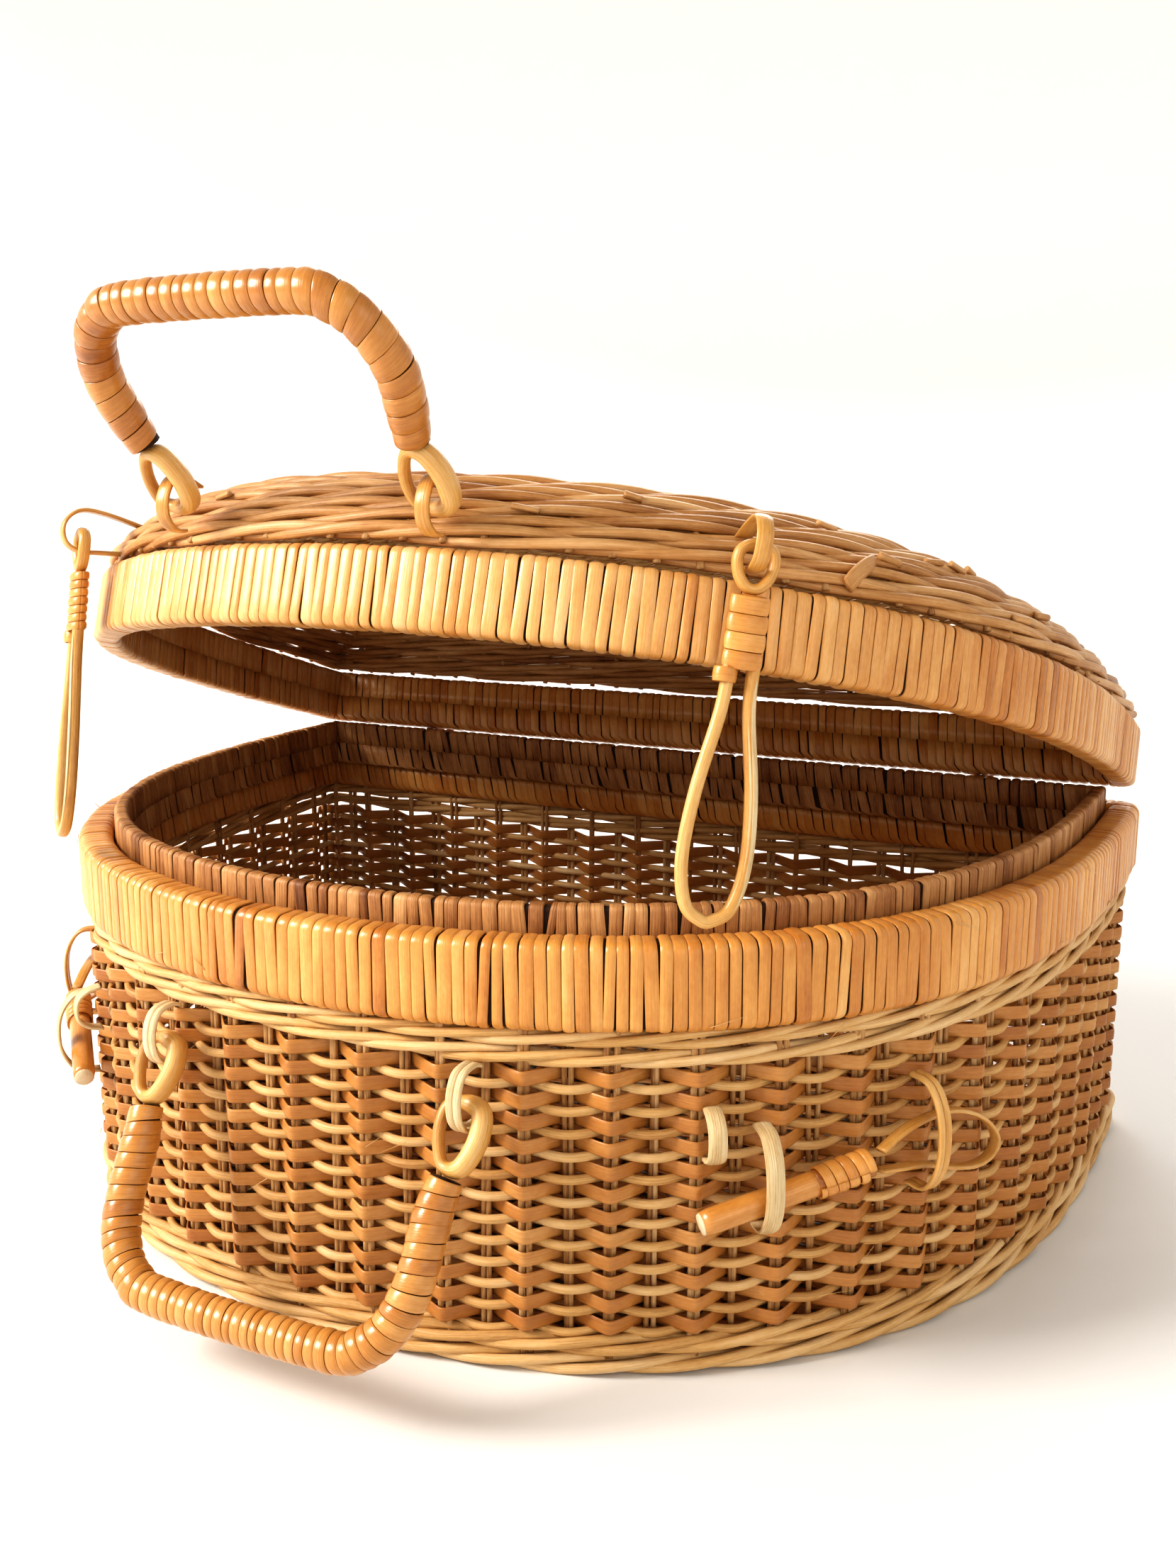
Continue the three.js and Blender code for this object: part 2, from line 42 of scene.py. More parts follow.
# Plan outline, in millimetres as everywhere below. An inset is measured inwards from it.
HALF_WIDTH = 250.0
DEPTH = 357.5
BACK_Y = DEPTH / 2
SIDE_POWER = 2.01
FRONT_POWER = 3.24
CORNER_RADIUS = 14.0

# Body heights.
FOOT_TOP = 15.0
WALE_BOTTOM = 119.5
RIM_BOTTOM = 133.2
RIM_TOP = 166.5
LIP_BOTTOM = 149.5
LIP_TOP = 175.5

# Lid, drawn closed with heights above the underside of its rim.
LID_INSET = 3.0
LID_RIM_HEIGHT = 30.5
DOME_TOP = 78.0
DOME_POWER = 4.6
DOME_ROUNDING = 1.6
DOME_INSET = 4.0
DOME_CENTRE_Y = -1.0
HINGE_Y = BACK_Y + 8
LASHING_X = 168.0
LASHING_APART = 3.2
HINGE_Z = RIM_TOP + 1.5
LID_REST = math.radians(16.45)

# Weave.
COLUMN_PITCH = 31.5
COLUMN_START_X = 114.5
ROW_PITCH = 8.69
ROW_COUNT = 12
LOWEST_ROW_Z = 19.9

# Handles.
HANDLE_RADIUS = 7.25
HANDLE_CORNER = 21.0
EYE_LENGTH = 26.0
EYE_HALF_WIDTH = 8.2
EYE_CANE_RADIUS = 3.3
BASE_HANDLE = {"x": 0.0, "y": -176.0, "z": 108.5, "half": 69.0, "reach": 91.5, "flare": -3.5,
               "turn": -math.radians(29), "seam": 1.0}
LID_HANDLE = {"x": -14.0, "y": -176.0, "z": 43.0, "half": 58.0, "reach": 82.0, "flare": 4.5,
              "turn": math.pi + math.radians(50.2), "seam": -1.0}

# Hasps.
HASP_X = 146.0
HASP_STANDOFF = 11.0
HASP_HEIGHT = 40.0
HASP_LENGTH = 129.5
HASP_LEAN = math.radians(4.5)
HASP_EYE = 17.0
HASP_NECK = 25.0
HASP_NECK_HALF = 6.8
HASP_LOOP_HALF = 11.0
HASP_TURNS = {"left": 7, "right": 4}

# Pegs.
STAPLE_SPACING = 18.5
PEG_RADIUS = 4.7
PEG_TILT = math.radians(12.5)
PEG_HEADING = math.radians(43)
PEG_STANDOFF = 5.6
PEG_TIP_BACK = 25.0
PEG_ROD_LENGTH = 44.0
PEG_NECK_RADIUS = 6.0
PEG_NECK_LENGTH = 22.0
PEG_Z = 71.5
TETHER_SPACING = 83.0

# The stub of cane on the side of the lid.
STUB_X = 181.0
STUB_SCALE = 0.98

SIDES = (("left", -1), ("right", 1))


# ---------- paths ----------

def unit(v):
    return v / np.maximum(np.linalg.norm(v, axis=-1, keepdims=True), 1e-9)


def path_length(points):
    """The distance along a path at each of its points."""
    return np.r_[0, np.cumsum(np.linalg.norm(np.diff(points, axis=0), axis=1))]


def interpolate(u, places, table):
    """Rows of a table between the places they stand at."""
    return np.stack([np.interp(u, places, column) for column in np.transpose(table)], -1)


# ---------- plan outline ----------

def front_curve(t):
    """The curved front, from its left end (t = pi) to its right end (t = 0)."""
    c, s = np.cos(t), np.sin(t)
    x = HALF_WIDTH * np.sign(c) * np.abs(c) ** (2 / SIDE_POWER)
    return np.stack([x, BACK_Y - DEPTH * np.abs(s) ** (2 / FRONT_POWER)], -1)


def plan_table():
    """The outline at 1 mm steps, anticlockwise from the left end of its curve, and its outward normals."""
    front = front_curve(np.linspace(math.pi, 0, 8001))
    front = front[front[:, 1] < BACK_Y - CORNER_RADIUS]
    edge = front[-1, 0]
    angle = np.linspace(0, math.pi / 2, 40)
    arc = np.stack([np.cos(angle), np.sin(angle)], -1) * CORNER_RADIUS
    centre = np.array([edge - CORNER_RADIUS, BACK_Y - CORNER_RADIUS])
    right = centre + arc
    left = (right * [-1, 1])[::-1]
    loop = np.concatenate([front, right, left, front[:1]])
    step = np.linalg.norm(np.diff(loop, axis=0), axis=1)
    loop = loop[np.r_[True, step > 1e-6]]
    length = path_length(loop)
    s = np.linspace(0, length[-1], int(length[-1]) + 1)
    points = interpolate(s, length, loop)
    around = np.concatenate([points[-3:-1], points, points[1:3]])
    tangent = around[4:] - around[:-4]
    tangent /= np.linalg.norm(tangent, axis=1, keepdims=True)
    return s, points, np.stack([tangent[:, 1], -tangent[:, 0]], -1)


PLAN_S, PLAN, NORMAL = plan_table()
LENGTH = PLAN_S[-1]


def lookup(s, table):
    """Points or normals of the outline at distances s round it."""
    return interpolate(np.mod(s, LENGTH), PLAN_S, table)


def wall_axes(s):
    """Unit directions along the wall, anticlockwise, and out of it."""
    normal = lookup(s, NORMAL)
    return np.array([-normal[1], normal[0], 0.0]), np.array([*normal, 0.0])


def at(s, inset):
    """Plan points at distances s round the outline. Inside a back corner they gather on the corner."""
    inset = np.asarray(inset, float)
    p = lookup(s, PLAN) - lookup(s, NORMAL) * inset[..., None]
    edge = HALF_WIDTH - 0.1 - inset
    x = np.clip(p[..., 0], -edge, edge)
    y = np.minimum(p[..., 1], BACK_Y - inset)
    return np.stack([x, y], -1)


def at_x(x):
    """Distance round the outline at which its curved front passes x."""
    front = (PLAN[:, 1] < BACK_Y - CORNER_RADIUS) & (PLAN_S < LENGTH - CORNER_RADIUS)
    return float(np.interp(x, PLAN[front, 0], PLAN_S[front]))


def wall_points(s, inset, z):
    s, inset, z = np.broadcast_arrays(*(np.asarray(v, float) for v in (s, inset, z)))
    return np.concatenate([at(s, inset), z[..., None]], -1)


def lid_to_world(p):
    """Takes points of the closed lid to where the lid rests, slightly open."""
    y = p[..., 1] - HINGE_Y
    z = p[..., 2] + HINGE_Z - RIM_TOP
    c, s = math.cos(LID_REST), math.sin(LID_REST)
    return np.stack([p[..., 0], HINGE_Y + y * c + z * s, HINGE_Z - y * s + z * c], -1)


def as_is(p):
    return p


# ---------- strands of cane ----------

def round_section(diameter, sides=8):
    a = np.arange(sides) * 2 * math.pi / sides
    return np.stack([np.cos(a), np.sin(a)], -1) * diameter / 2


def strip_section(width, thickness, sides=12, power=3.0):
    a = np.arange(sides) * 2 * math.pi / sides
    c, s = np.cos(a), np.sin(a)
    x = np.sign(c) * np.abs(c) ** (2 / power) * width / 2
    return np.stack([x, np.sign(s) * np.abs(s) ** (2 / power) * thickness / 2], -1)


def crowned_section(width, thickness, crown=0.4, steps=9):
    """Split cane: flat underneath and domed on top. crown is the share of the thickness that is dome."""
    x = np.sin(np.linspace(1, -1, steps) * math.pi / 2)
    top = np.stack([x * width / 2, thickness * (1 - crown * np.abs(x) ** 3)], -1)
    under = np.array([[-width / 2 * 0.97, 0.0], [0.0, 0.0], [width / 2 * 0.97, 0.0]])
    return np.concatenate([top, under])


class Cane:
    """Collects strands as one mesh. Each point has a place in the grain and a tone."""

    def __init__(self):
        self.points, self.quads, self.triangles, self.grain, self.tones = [], [], [], [], []
        self.count = 0

    def add(self, rings, section, along, tone, closed=False):
        """Adds one strand, skinned over its rings of points."""
        n, m = rings.shape[:2]
        index = self.count + np.arange(n * m).reshape(n, m)
        after = np.roll(index, -1, axis=1)
        quads = np.stack([index, after, np.roll(after, -1, axis=0), np.roll(index, -1, axis=0)], -1)
        quads = quads[: n if closed else n - 1].reshape(-1, 4)
        triangles = np.zeros((0, 3), int)
        if not closed:
            fan = np.arange(1, m - 1)
            first = np.stack([np.full(m - 2, index[0, 0]), index[0, fan + 1], index[0, fan]], -1)
            last = np.stack([np.full(m - 2, index[-1, 0]), index[-1, fan], index[-1, fan + 1]], -1)
            triangles = np.concatenate([first, last])
        flat = rings.reshape(-1, 3)
        local = flat - flat.mean(0)
        q = local[quads - self.count]
        volume = np.einsum("ij,ij->i", q[:, 0], np.cross(q[:, 1], q[:, 2])).sum()
        volume += np.einsum("ij,ij->i", q[:, 0], np.cross(q[:, 2], q[:, 3])).sum()
        if volume < 0:
            quads, triangles = quads[:, ::-1], triangles[:, ::-1]
        grain = np.empty((n, m, 3))
        grain[..., 0] = section[:, 0]
        grain[..., 1] = np.asarray(along)[:, None] + RANDOM.uniform(0, 900)
        grain[..., 2] = section[:, 1] + RANDOM.uniform(0, 400)
        self.points.append(flat)
        self.quads.append(quads)
        self.triangles.append(triangles)
        self.grain.append(grain.reshape(-1, 3))
        self.tones.append(np.broadcast_to(np.asarray(tone, float), (n,)).repeat(m))
        self.count += n * m

    def sweep(self, centres, side, section, tone, closed=False, scale=None):
        """Sweeps a section along points; its first coordinate lies along side."""
        along, across = axes_along(centres, side, closed)
        size = np.ones(len(centres)) if scale is None else np.asarray(scale, float)
        offset = section[None] * size[:, None, None]
        rings = centres[:, None] + along[:, None] * offset[..., :1] + across[:, None] * offset[..., 1:]
        self.add(rings, section, path_length(centres), tone, closed)

    def build(self, name, material, body, slot, nodes=()):
        """Makes the object, lets it ride on a CAD body and stand for CAD nodes."""
        quads, triangles = np.concatenate(self.quads), np.concatenate(self.triangles)
        mesh = bpy.data.meshes.new(name)
        mesh.vertices.add(self.count)
        mesh.vertices.foreach_set("co", (np.concatenate(self.points) * MM).astype(np.float32).ravel())
        loops = np.concatenate([quads.ravel(), triangles.ravel()]).astype(np.int32)
        mesh.loops.add(len(loops))
        mesh.loops.foreach_set("vertex_index", loops)
        starts = np.r_[np.arange(len(quads)) * 4, len(quads) * 4 + np.arange(len(triangles)) * 3]
        mesh.polygons.add(len(starts))
        mesh.polygons.foreach_set("loop_start", starts.astype(np.int32))
        mesh.polygons.foreach_set("use_smooth", np.ones(len(starts), bool))
        mesh.update(calc_edges=True)
        grain = mesh.attributes.new("grain", "FLOAT_VECTOR", "POINT")
        grain.data.foreach_set("vector", np.concatenate(self.grain).astype(np.float32).ravel())
        tone = mesh.attributes.new("tone", "FLOAT", "POINT")
        tone.data.foreach_set("value", np.concatenate(self.tones).astype(np.float32))
        mesh.materials.append(material)
        piece = bpy.data.objects.new(name, mesh)
        bpy.context.scene.collection.objects.link(piece)
        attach(piece, body)
        if nodes:
            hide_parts(*nodes)
        return piece


def axes_along(centres, side, closed=False):
    """Two unit directions square to a path: the one nearest to side, and the one across it."""
    if closed:
        tangent = unit(np.roll(centres, -1, axis=0) - np.roll(centres, 1, axis=0))
    else:
        tangent = unit(np.gradient(centres, axis=0))
    side = np.broadcast_to(np.asarray(side, float), centres.shape)
    along = unit(side - tangent * np.sum(side * tangent, -1, keepdims=True))
    return along, np.cross(tangent, along)


def smooth(points, spacing=1.5, closed=False):
    """Points at even spacing on a smooth curve through the given ones."""
    p = np.asarray(points, float)
    if closed:
        p = np.concatenate([p[-1:], p, p[:2]])
    else:
        p = np.concatenate([2 * p[:1] - p[1:2], p, 2 * p[-1:] - p[-2:-1]])
    u = np.linspace(0, 1, 16, endpoint=False)[:, None]
    parts = []
    for a, b, c, d in zip(p, p[1:], p[2:], p[3:]):
        curve = 2 * b + (c - a) * u + (2 * a - 5 * b + 4 * c - d) * u**2 + (3 * b - a - 3 * c + d) * u**3
        parts.append(curve / 2)
    dense = np.concatenate(parts + [p[-2:-1]])
    length = path_length(dense)
    count = max(int(length[-1] / spacing), 6)
    out = interpolate(np.linspace(0, length[-1], count + 1), length, dense)
    return out[:-1] if closed else out


def tones(count, middle=0.5, spread=0.2):
    """Random tones, from 0 for the palest cane to 1 for the darkest."""
    return np.clip(RANDOM.normal(middle, spread, count), 0.02, 0.98)


def wander(phase, size, slowing):
    """A slow wave along a strand: its phase slowed by a whole number drawn from a range."""
    return size * np.sin(phase / RANDOM.integers(*slowing) + RANDOM.uniform(0, 6))


# ---------- materials ----------

EVEN = (0.05, 0.4, 0.7, 0.97)
LATE = (0.05, 0.45, 0.75, 0.98)
ENDS = (0.1, 0.9)
TONE_WEIGHT = 0.62
SPECK_WEIGHT = 0.2
PALEST = 0.19


def ramp_colours(nodes, colours, places):
    ramp = nodes.new("ShaderNodeValToRGB")
    while len(ramp.color_ramp.elements) < len(colours):
        ramp.color_ramp.elements.new(0.5)
    for element, place, colour in zip(ramp.color_ramp.elements, places, colours):
        element.position = place
        element.color = (*colour, 1)
    return ramp


def attribute(nodes, name):
    node = nodes.new("ShaderNodeAttribute")
    node.attribute_name = name
    return node


def noise_along_grain(nodes, links, grain, scale, detail):
    """Noise over the grain, scaled across, along and through it."""
    stretch = nodes.new("ShaderNodeVectorMath")
    stretch.operation = "MULTIPLY"
    stretch.inputs[1].default_value = scale
    links.new(grain, stretch.inputs[0])
    noise = nodes.new("ShaderNodeTexNoise")
    noise.inputs["Scale"].default_value = 1.0
    noise.inputs["Detail"].default_value = detail
    links.new(stretch.outputs[0], noise.inputs["Vector"])
    return noise.outputs["Fac"]


def weighted(nodes, links, value, weight, start):
    """start + weight * value, where start is a number or an output."""
    add = nodes.new("ShaderNodeMath")
    add.operation = "MULTIPLY_ADD"
    add.inputs[1].default_value = weight
    links.new(value, add.inputs[0])
    if isinstance(start, float):
        add.inputs[2].default_value = start
    else:
        links.new(start, add.inputs[2])
    return add.outputs[0]


def cane_material(name, colours, roughness, places=EVEN, coat=0.0, fibre=0.35, blotch=0.45, bump=0.4):
    """Cane whose colour runs along its fibres. Colours go from the palest tone to the darkest."""
    material = bpy.data.materials.new(name)
    material.use_nodes = True
    nodes, links = material.node_tree.nodes, material.node_tree.links
    shader = nodes["Principled BSDF"]
    grain = attribute(nodes, "grain").outputs["Vector"]
    tone = attribute(nodes, "tone").outputs["Fac"]
    fibres = noise_along_grain(nodes, links, grain, (2.6, 0.05, 2.6), 4.0)
    blotches = noise_along_grain(nodes, links, grain, (0.12, 0.045, 0.12), 3.0)
    specks = noise_along_grain(nodes, links, grain, (0.9, 0.35, 0.9), 2.0)
    start = PALEST - fibre / 2 - blotch / 2 - SPECK_WEIGHT / 2
    value = weighted(nodes, links, tone, TONE_WEIGHT, start)
    value = weighted(nodes, links, fibres, fibre, value)
    value = weighted(nodes, links, blotches, blotch, value)
    value = weighted(nodes, links, specks, SPECK_WEIGHT, value)
    ramp = ramp_colours(nodes, colours, places)
    links.new(value, ramp.inputs["Fac"])
    links.new(ramp.outputs["Color"], shader.inputs["Base Color"])
    relief = nodes.new("ShaderNodeBump")
    relief.inputs["Strength"].default_value = bump
    relief.inputs["Distance"].default_value = 0.00035
    links.new(fibres, relief.inputs["Height"])
    links.new(relief.outputs["Normal"], shader.inputs["Normal"])
    shader.inputs["Roughness"].default_value = roughness
    shader.inputs["Coat Weight"].default_value = coat
    shader.inputs["Coat Roughness"].default_value = 0.22
    shader.inputs["Specular IOR Level"].default_value = 0.5
    return material


BINDING = cane_material("Glossy binding cane", [
    (0.82, 0.52, 0.22), (0.70, 0.345, 0.09), (0.52, 0.20, 0.036), (0.2, 0.055, 0.009),
], 0.36, (0.05, 0.35, 0.65, 0.97), coat=0.4)
LID_BINDING = cane_material("Lid binding cane", [
    (0.84, 0.58, 0.33), (0.72, 0.40, 0.14), (0.54, 0.22, 0.045), (0.22, 0.065, 0.012),
], 0.38, (0.05, 0.38, 0.68, 0.97), coat=0.35)
PITH = cane_material("Pith side of binding cane", [
    (0.74, 0.46, 0.22), (0.50, 0.25, 0.09), (0.27, 0.105, 0.03), (0.07, 0.022, 0.006),
], 0.55, coat=0.1, fibre=0.7, blotch=0.6, bump=0.9)
STRIP = cane_material("Flat weaving strips", [
    (0.68, 0.40, 0.16), (0.50, 0.225, 0.055), (0.35, 0.125, 0.024), (0.14, 0.04, 0.008),
], 0.42, coat=0.22)
ROD = cane_material("Pale round rods", [
    (0.80, 0.58, 0.33), (0.62, 0.37, 0.14), (0.40, 0.19, 0.055), (0.15, 0.055, 0.014),
], 0.5, LATE, fibre=0.6, bump=0.8)
LID_ROD = cane_material("Lid rods", [
    (0.74, 0.47, 0.23), (0.53, 0.27, 0.09), (0.31, 0.125, 0.032), (0.11, 0.034, 0.008),
], 0.46, LATE, coat=0.15, fibre=0.6, blotch=0.6, bump=0.8)
STAKE = cane_material("Pale stakes", [
    (0.72, 0.50, 0.27), (0.50, 0.28, 0.11), (0.28, 0.12, 0.036), (0.09, 0.03, 0.008),
], 0.6, LATE, fibre=0.8, bump=1.0)
HANDLE = cane_material("Handle binding", [
    (0.74, 0.42, 0.15), (0.56, 0.25, 0.055), (0.37, 0.13, 0.022), (0.14, 0.038, 0.006),
], 0.3, coat=0.55)
SPLIT = cane_material("Split cane", [
    (0.80, 0.55, 0.25), (0.64, 0.34, 0.09), (0.42, 0.17, 0.036), (0.16, 0.05, 0.01),
], 0.34, coat=0.4, fibre=0.55, bump=0.6)
PEELED = cane_material("Peeled strip", [
    (0.82, 0.70, 0.48), (0.68, 0.5, 0.27), (0.42, 0.25, 0.1), (0.13, 0.06, 0.02),
], 0.62, fibre=0.8, blotch=0.8, bump=1.2)
CHALK = cane_material("Cut end of a peg", [
    (0.86, 0.74, 0.55), (0.62, 0.44, 0.24),
], 0.8, ENDS, bump=1.0)
# Painted shade: the hoops and rods under the bindings are coloured nearly black so the gaps between turns
# read as dark lines.
PAINTED_SHADE_CORE = cane_material("Hoop under the cane, dark as painted shade", [
    (0.05, 0.018, 0.005), (0.014, 0.005, 0.002),
], 0.8, ENDS)


# ---------- bound hoops ----------

def rounded_loop(outer, inner, low, high, radius, steps=4, straight=3):
    """Closed rounded rectangle of (inset, z) with outward normals, starting half way up its inner side."""
    corners = [(inner - radius, high - radius, 0), (outer + radius, high - radius, 90),
               (outer + radius, low + radius, 180), (inner - radius, low + radius, 270)]
    points, normals = [], []
    for x, z, start in corners:
        for i in range(steps + 1):
            a = math.radians(start + 90 * i / steps)
            normals.append((math.cos(a), math.sin(a)))
            points.append((x + radius * math.cos(a), z + radius * math.sin(a)))
    points, normals = np.array(points), np.array(normals)
    fine_points, fine_normals = [], []
    for i in range(len(points)):
        j = (i + 1) % len(points)
        count = straight + 1 if (i + 1) % (steps + 1) == 0 else 1
        for k in range(count):
            fine_points.append(points[i] + (points[j] - points[i]) * k / count)
            fine_normals.append(normals[i])
    shift = len(fine_points) - straight // 2 - 1
    return np.roll(fine_points, -shift, axis=0), np.roll(fine_normals, -shift, axis=0)


def painted_shade_hoop(name, outline, shrink, to_world, body, slot):
    """A plain hoop under the binding, coloured nearly black as painted shade in the gaps between turns."""
    points, normals = outline
    section = points - normals * shrink
    s = np.linspace(0, LENGTH, 360, endpoint=False)
    rings = to_world(wall_points(s[:, None], section[None, :, 0], section[None, :, 1]))
    core = Cane()
    core.add(rings, section, s, 0.5, closed=True)
    core.build(name, PAINTED_SHADE_CORE, body, slot)


def wrap_starts(pitch, spread):
    """Places and widths of the turns round a hoop. They crowd together at the two back corners."""
    right_corner = at_x(HALF_WIDTH - 1) + CORNER_RADIUS
    left_corner = LENGTH + 2 * at_x(0) - right_corner
    starts, widths = [], []
    place = 0.0
    while place < LENGTH:
        away = min(abs(place - right_corner), abs(place - left_corner))
        crowd = 1 - 0.5 * math.exp(-(away / 26) ** 2)
        width = pitch * crowd * RANDOM.uniform(1 - spread, 1 + spread)
        starts.append(place + width / 2)
        widths.append(width)
        place += width
    scale = LENGTH / place
    return np.array(starts) * scale, np.array(widths) * scale


# How a hoop is wound: the spread of its turns' widths, the gaps between them, how far they lift and lean, and
# the share of them that sit badly.
NEAT = {"spread": 0.13, "gap": 0.3, "lift": 0.2, "lean": 0.5, "rough": 0.03}
ROUGH = {"spread": 0.25, "gap": 0.45, "lift": 0.1, "lean": 1.1, "rough": 0.1}


def bind_hoop(cane, outline, pitch, thickness, tone, to_world, manner=NEAT):
    """Winds split cane round a hoop. tone is a function of the distance round the hoop."""
    points, normals = outline
    turn = np.linspace(0, 1, len(points) + 1)
    loop = np.concatenate([points, points[:1]])
    outward = np.concatenate([normals, normals[:1]])
    advance = np.clip((turn - 0.86) / 0.14, 0, 1) - np.clip((0.06 - turn) / 0.06, 0, 1) * 0.3
    middle = (points[:, 1].max() + points[:, 1].min()) / 2
    drift = 0.0
    for start, width in zip(*wrap_starts(pitch, manner["spread"])):
        odd = RANDOM.random() < manner["rough"]
        open_by = RANDOM.uniform(0.35, 0.9) + (1.3 if RANDOM.random() < 0.22 else 0) + (1.6 if odd else 0)
        depth = thickness * RANDOM.uniform(0.85, 1.15)
        section = crowned_section(width - manner["gap"] * open_by, depth, RANDOM.uniform(0.28, 0.5))
        rise = RANDOM.uniform(0, manner["lift"]) + (0.12 if odd else 0)
        tilt = RANDOM.normal(0, manner["lean"]) / 30 * (3 if odd else 1)
        bow = RANDOM.normal(0, 0.12) * np.sin(math.pi * turn * 2)
        shift = advance * width + tilt * (loop[:, 1] - middle) + bow
        s = start + section[None, :, 0] + shift[:, None]
        out = section[None, :, 1] + rise - thickness
        inset = loop[:, None, 0] + outward[:, None, 0] * out
        z = loop[:, None, 1] + outward[:, None, 1] * out
        drift = 0.8 * drift + RANDOM.normal(0, 0.06)
        shade = np.clip(tone(start) + drift + RANDOM.normal(0, 0.1) + (0.2 if odd else 0), 0.02, 0.98)
        cane.add(to_world(wall_points(s, inset, z)), section, path_length(loop), shade)


def body_rim():
    """The body's rim hoop and its binding."""
    outline = rounded_loop(0, 15, RIM_BOTTOM, RIM_TOP, 4.5)
    cane = Cane()
    bind_hoop(cane, outline, 5.1, 1.2, lambda s: 0.44, as_is)
    cane.build("rim_binding", BINDING, "basket", "rim_binding", ["rim_hoop"])
    painted_shade_hoop("rim_core", outline, 1.15, as_is, "basket", "rim_binding")


def inner_lip():
    """The lower hoop inside the rim, bound with the pith side of the cane out."""
    outline = rounded_loop(16, 22.4, LIP_BOTTOM, LIP_TOP, 2.2)
    cane = Cane()
    bind_hoop(cane, outline, 5.0, 1.1, lambda s: 0.42, as_is, ROUGH)
    cane.build("lip_binding", PITH, "basket", "pith_binding", ["lip_hoop"])
    painted_shade_hoop("lip_core", outline, 1.0, as_is, "basket", "pith_binding")


def lid_tone_and_painted_shade(s):
    """The lid's binding darkens over 250 mm from the middle of the front to the right: painted shade on the
    side turned away from the key light.
    """
    return 0.34 + 0.26 * np.clip((s - at_x(0)) / 250, 0, 1)


def lid_rim():
    """The lid's rim hoop and its binding."""
    outline = rounded_loop(LID_INSET, LID_INSET + 12, 0, LID_RIM_HEIGHT, 3.5)
    cane = Cane()
    bind_hoop(cane, outline, 5.1, 1.2, lid_tone_and_painted_shade, lid_to_world)
    cane.build("lid_rim_binding", LID_BINDING, "lid", "rim_binding", ["lid_rim_hoop"])
    painted_shade_hoop("lid_rim_core", outline, 1.15, lid_to_world, "lid", "rim_binding")


# ---------- woven wall ----------

COLUMNS = round(LENGTH / COLUMN_PITCH)
PITCH = LENGTH / COLUMNS
FIRST_COLUMN = at_x(COLUMN_START_X) % PITCH


def triangle_wave(phase):
    """1 at whole turns, -1 half way, with softened corners."""
    return np.arcsin(0.965 * np.cos(phase)) / math.asin(0.965)


# The stakes of a column: two in front and two behind, by place along the wall, inset, width and lean.
STAKES = ((-1.25, 5.6, 2.6, 0.5), (1.25, 5.6, 2.6, 0.5),
          (PITCH / 2 - 1.0, 9.4, 2.1, 1.0), (PITCH / 2 + 1.0, 9.4, 2.1, 1.0))


def wall_stakes():
    """Pairs of upright stakes that the rows weave round."""
    cane = Cane()
    z = np.linspace(6, RIM_BOTTOM + 1, 60)
    for i in range(COLUMNS):
        for offset, inset, width, lean in STAKES:
            s = FIRST_COLUMN + i * PITCH + offset + RANDOM.normal(0, lean) * (z - 60) / 60
            centres = wall_points(s, inset + RANDOM.normal(0, 0.12), z)
            along, _ = wall_axes(s[0])
            cane.sweep(centres, along, strip_section(width, 2.1, 8, 2.4), tones(1, 0.42, 0.2)[0])
    cane.build("wall_stakes", STAKE, "basket", "brown_weave")


def wall_rows():
    """Flat strips that go in and out round the stakes, with a pale rod under each."""
    strips, rods = Cane(), Cane()
    s = np.arange(0, LENGTH, 1.05)
    phase = 2 * math.pi * (s - FIRST_COLUMN) / PITCH
    flat, thick = strip_section(5.7, 1.0), strip_section(3.7, 3.2, 8, 2.2)
    for row in range(ROW_COUNT):
        z = LOWEST_ROW_Z + row * ROW_PITCH
        height = z + wander(phase, 0.35, (3, 9)) + wander(phase, 0.25, (3, 9))
        centres = wall_points(s, 7.2 - 5.1 * triangle_wave(phase), height)
        strips.sweep(centres, (0, 0, 1), flat, row_tones(s, 0.42), closed=True)
        under = z - ROW_PITCH / 2 + 0.3 * np.cos(phase)
        height = under + wander(phase, 0.3, (3, 9)) + wander(phase, 0.25, (3, 9))
        centres = wall_points(s, 7.4 + 1.5 * np.cos(phase), height)
        rods.sweep(centres, (0, 0, 1), thick, row_tones(s, 0.4), closed=True)
    strips.build("wall_strips", STRIP, "basket", "brown_weave", ["wall_weave"])
    rods.build("wall_rods", ROD, "basket", "brown_weave")


def row_tones(s, middle):
    """A tone that wanders along a row as one weaver follows another."""
    knots = np.linspace(0, LENGTH, 9)
    values = tones(8, middle, 0.17)
    return np.interp(s, knots, np.r_[values, values[0]])


# ---------- waling ----------

def wale_phase(s, period, strand, row):
    """Where a strand of three-rod waling stands in its wave, with whole waves round the basket."""
    turns = round(LENGTH / period)
    return 2 * math.pi * (turns * s / LENGTH + strand / 3 + row * 0.21)


def wall_wale(cane, rows, inset, low, rise, diameter, period=104.0):
    """Rows of three-rod waling round the wall."""
    s = np.arange(0, LENGTH, 1.6)
    for row in range(rows):
        for strand in range(3):
            phase = wale_phase(s, period, strand, row)
            out = diameter * 0.62 * np.cos(phase)
            z = low + rise * (row + 0.5) + rise * 0.25 * np.sin(phase) + wander(phase, 0.5, (3, 8))
            section = strip_section(diameter, diameter * 0.92, 8, 2.2)
            cane.sweep(wall_points(s, inset - out, z), (0, 0, 1), section, row_tones(s, 0.32), closed=True)


def body_wales():
    """Two rows of waling under the rim and two at the foot."""
    top = Cane()
    wall_wale(top, 2, 6.4, WALE_BOTTOM + 0.1, (RIM_BOTTOM - WALE_BOTTOM) / 2, 3.7)
    top.build("rim_wale_rods", ROD, "basket", "pale_rods", ["rim_wale"])
    foot = Cane()
    wall_wale(foot, 2, 5.2, 0.5, FOOT_TOP / 2, 4.0)
    foot.build("foot_wale_rods", ROD, "basket", "pale_rods", ["foot_wale"])


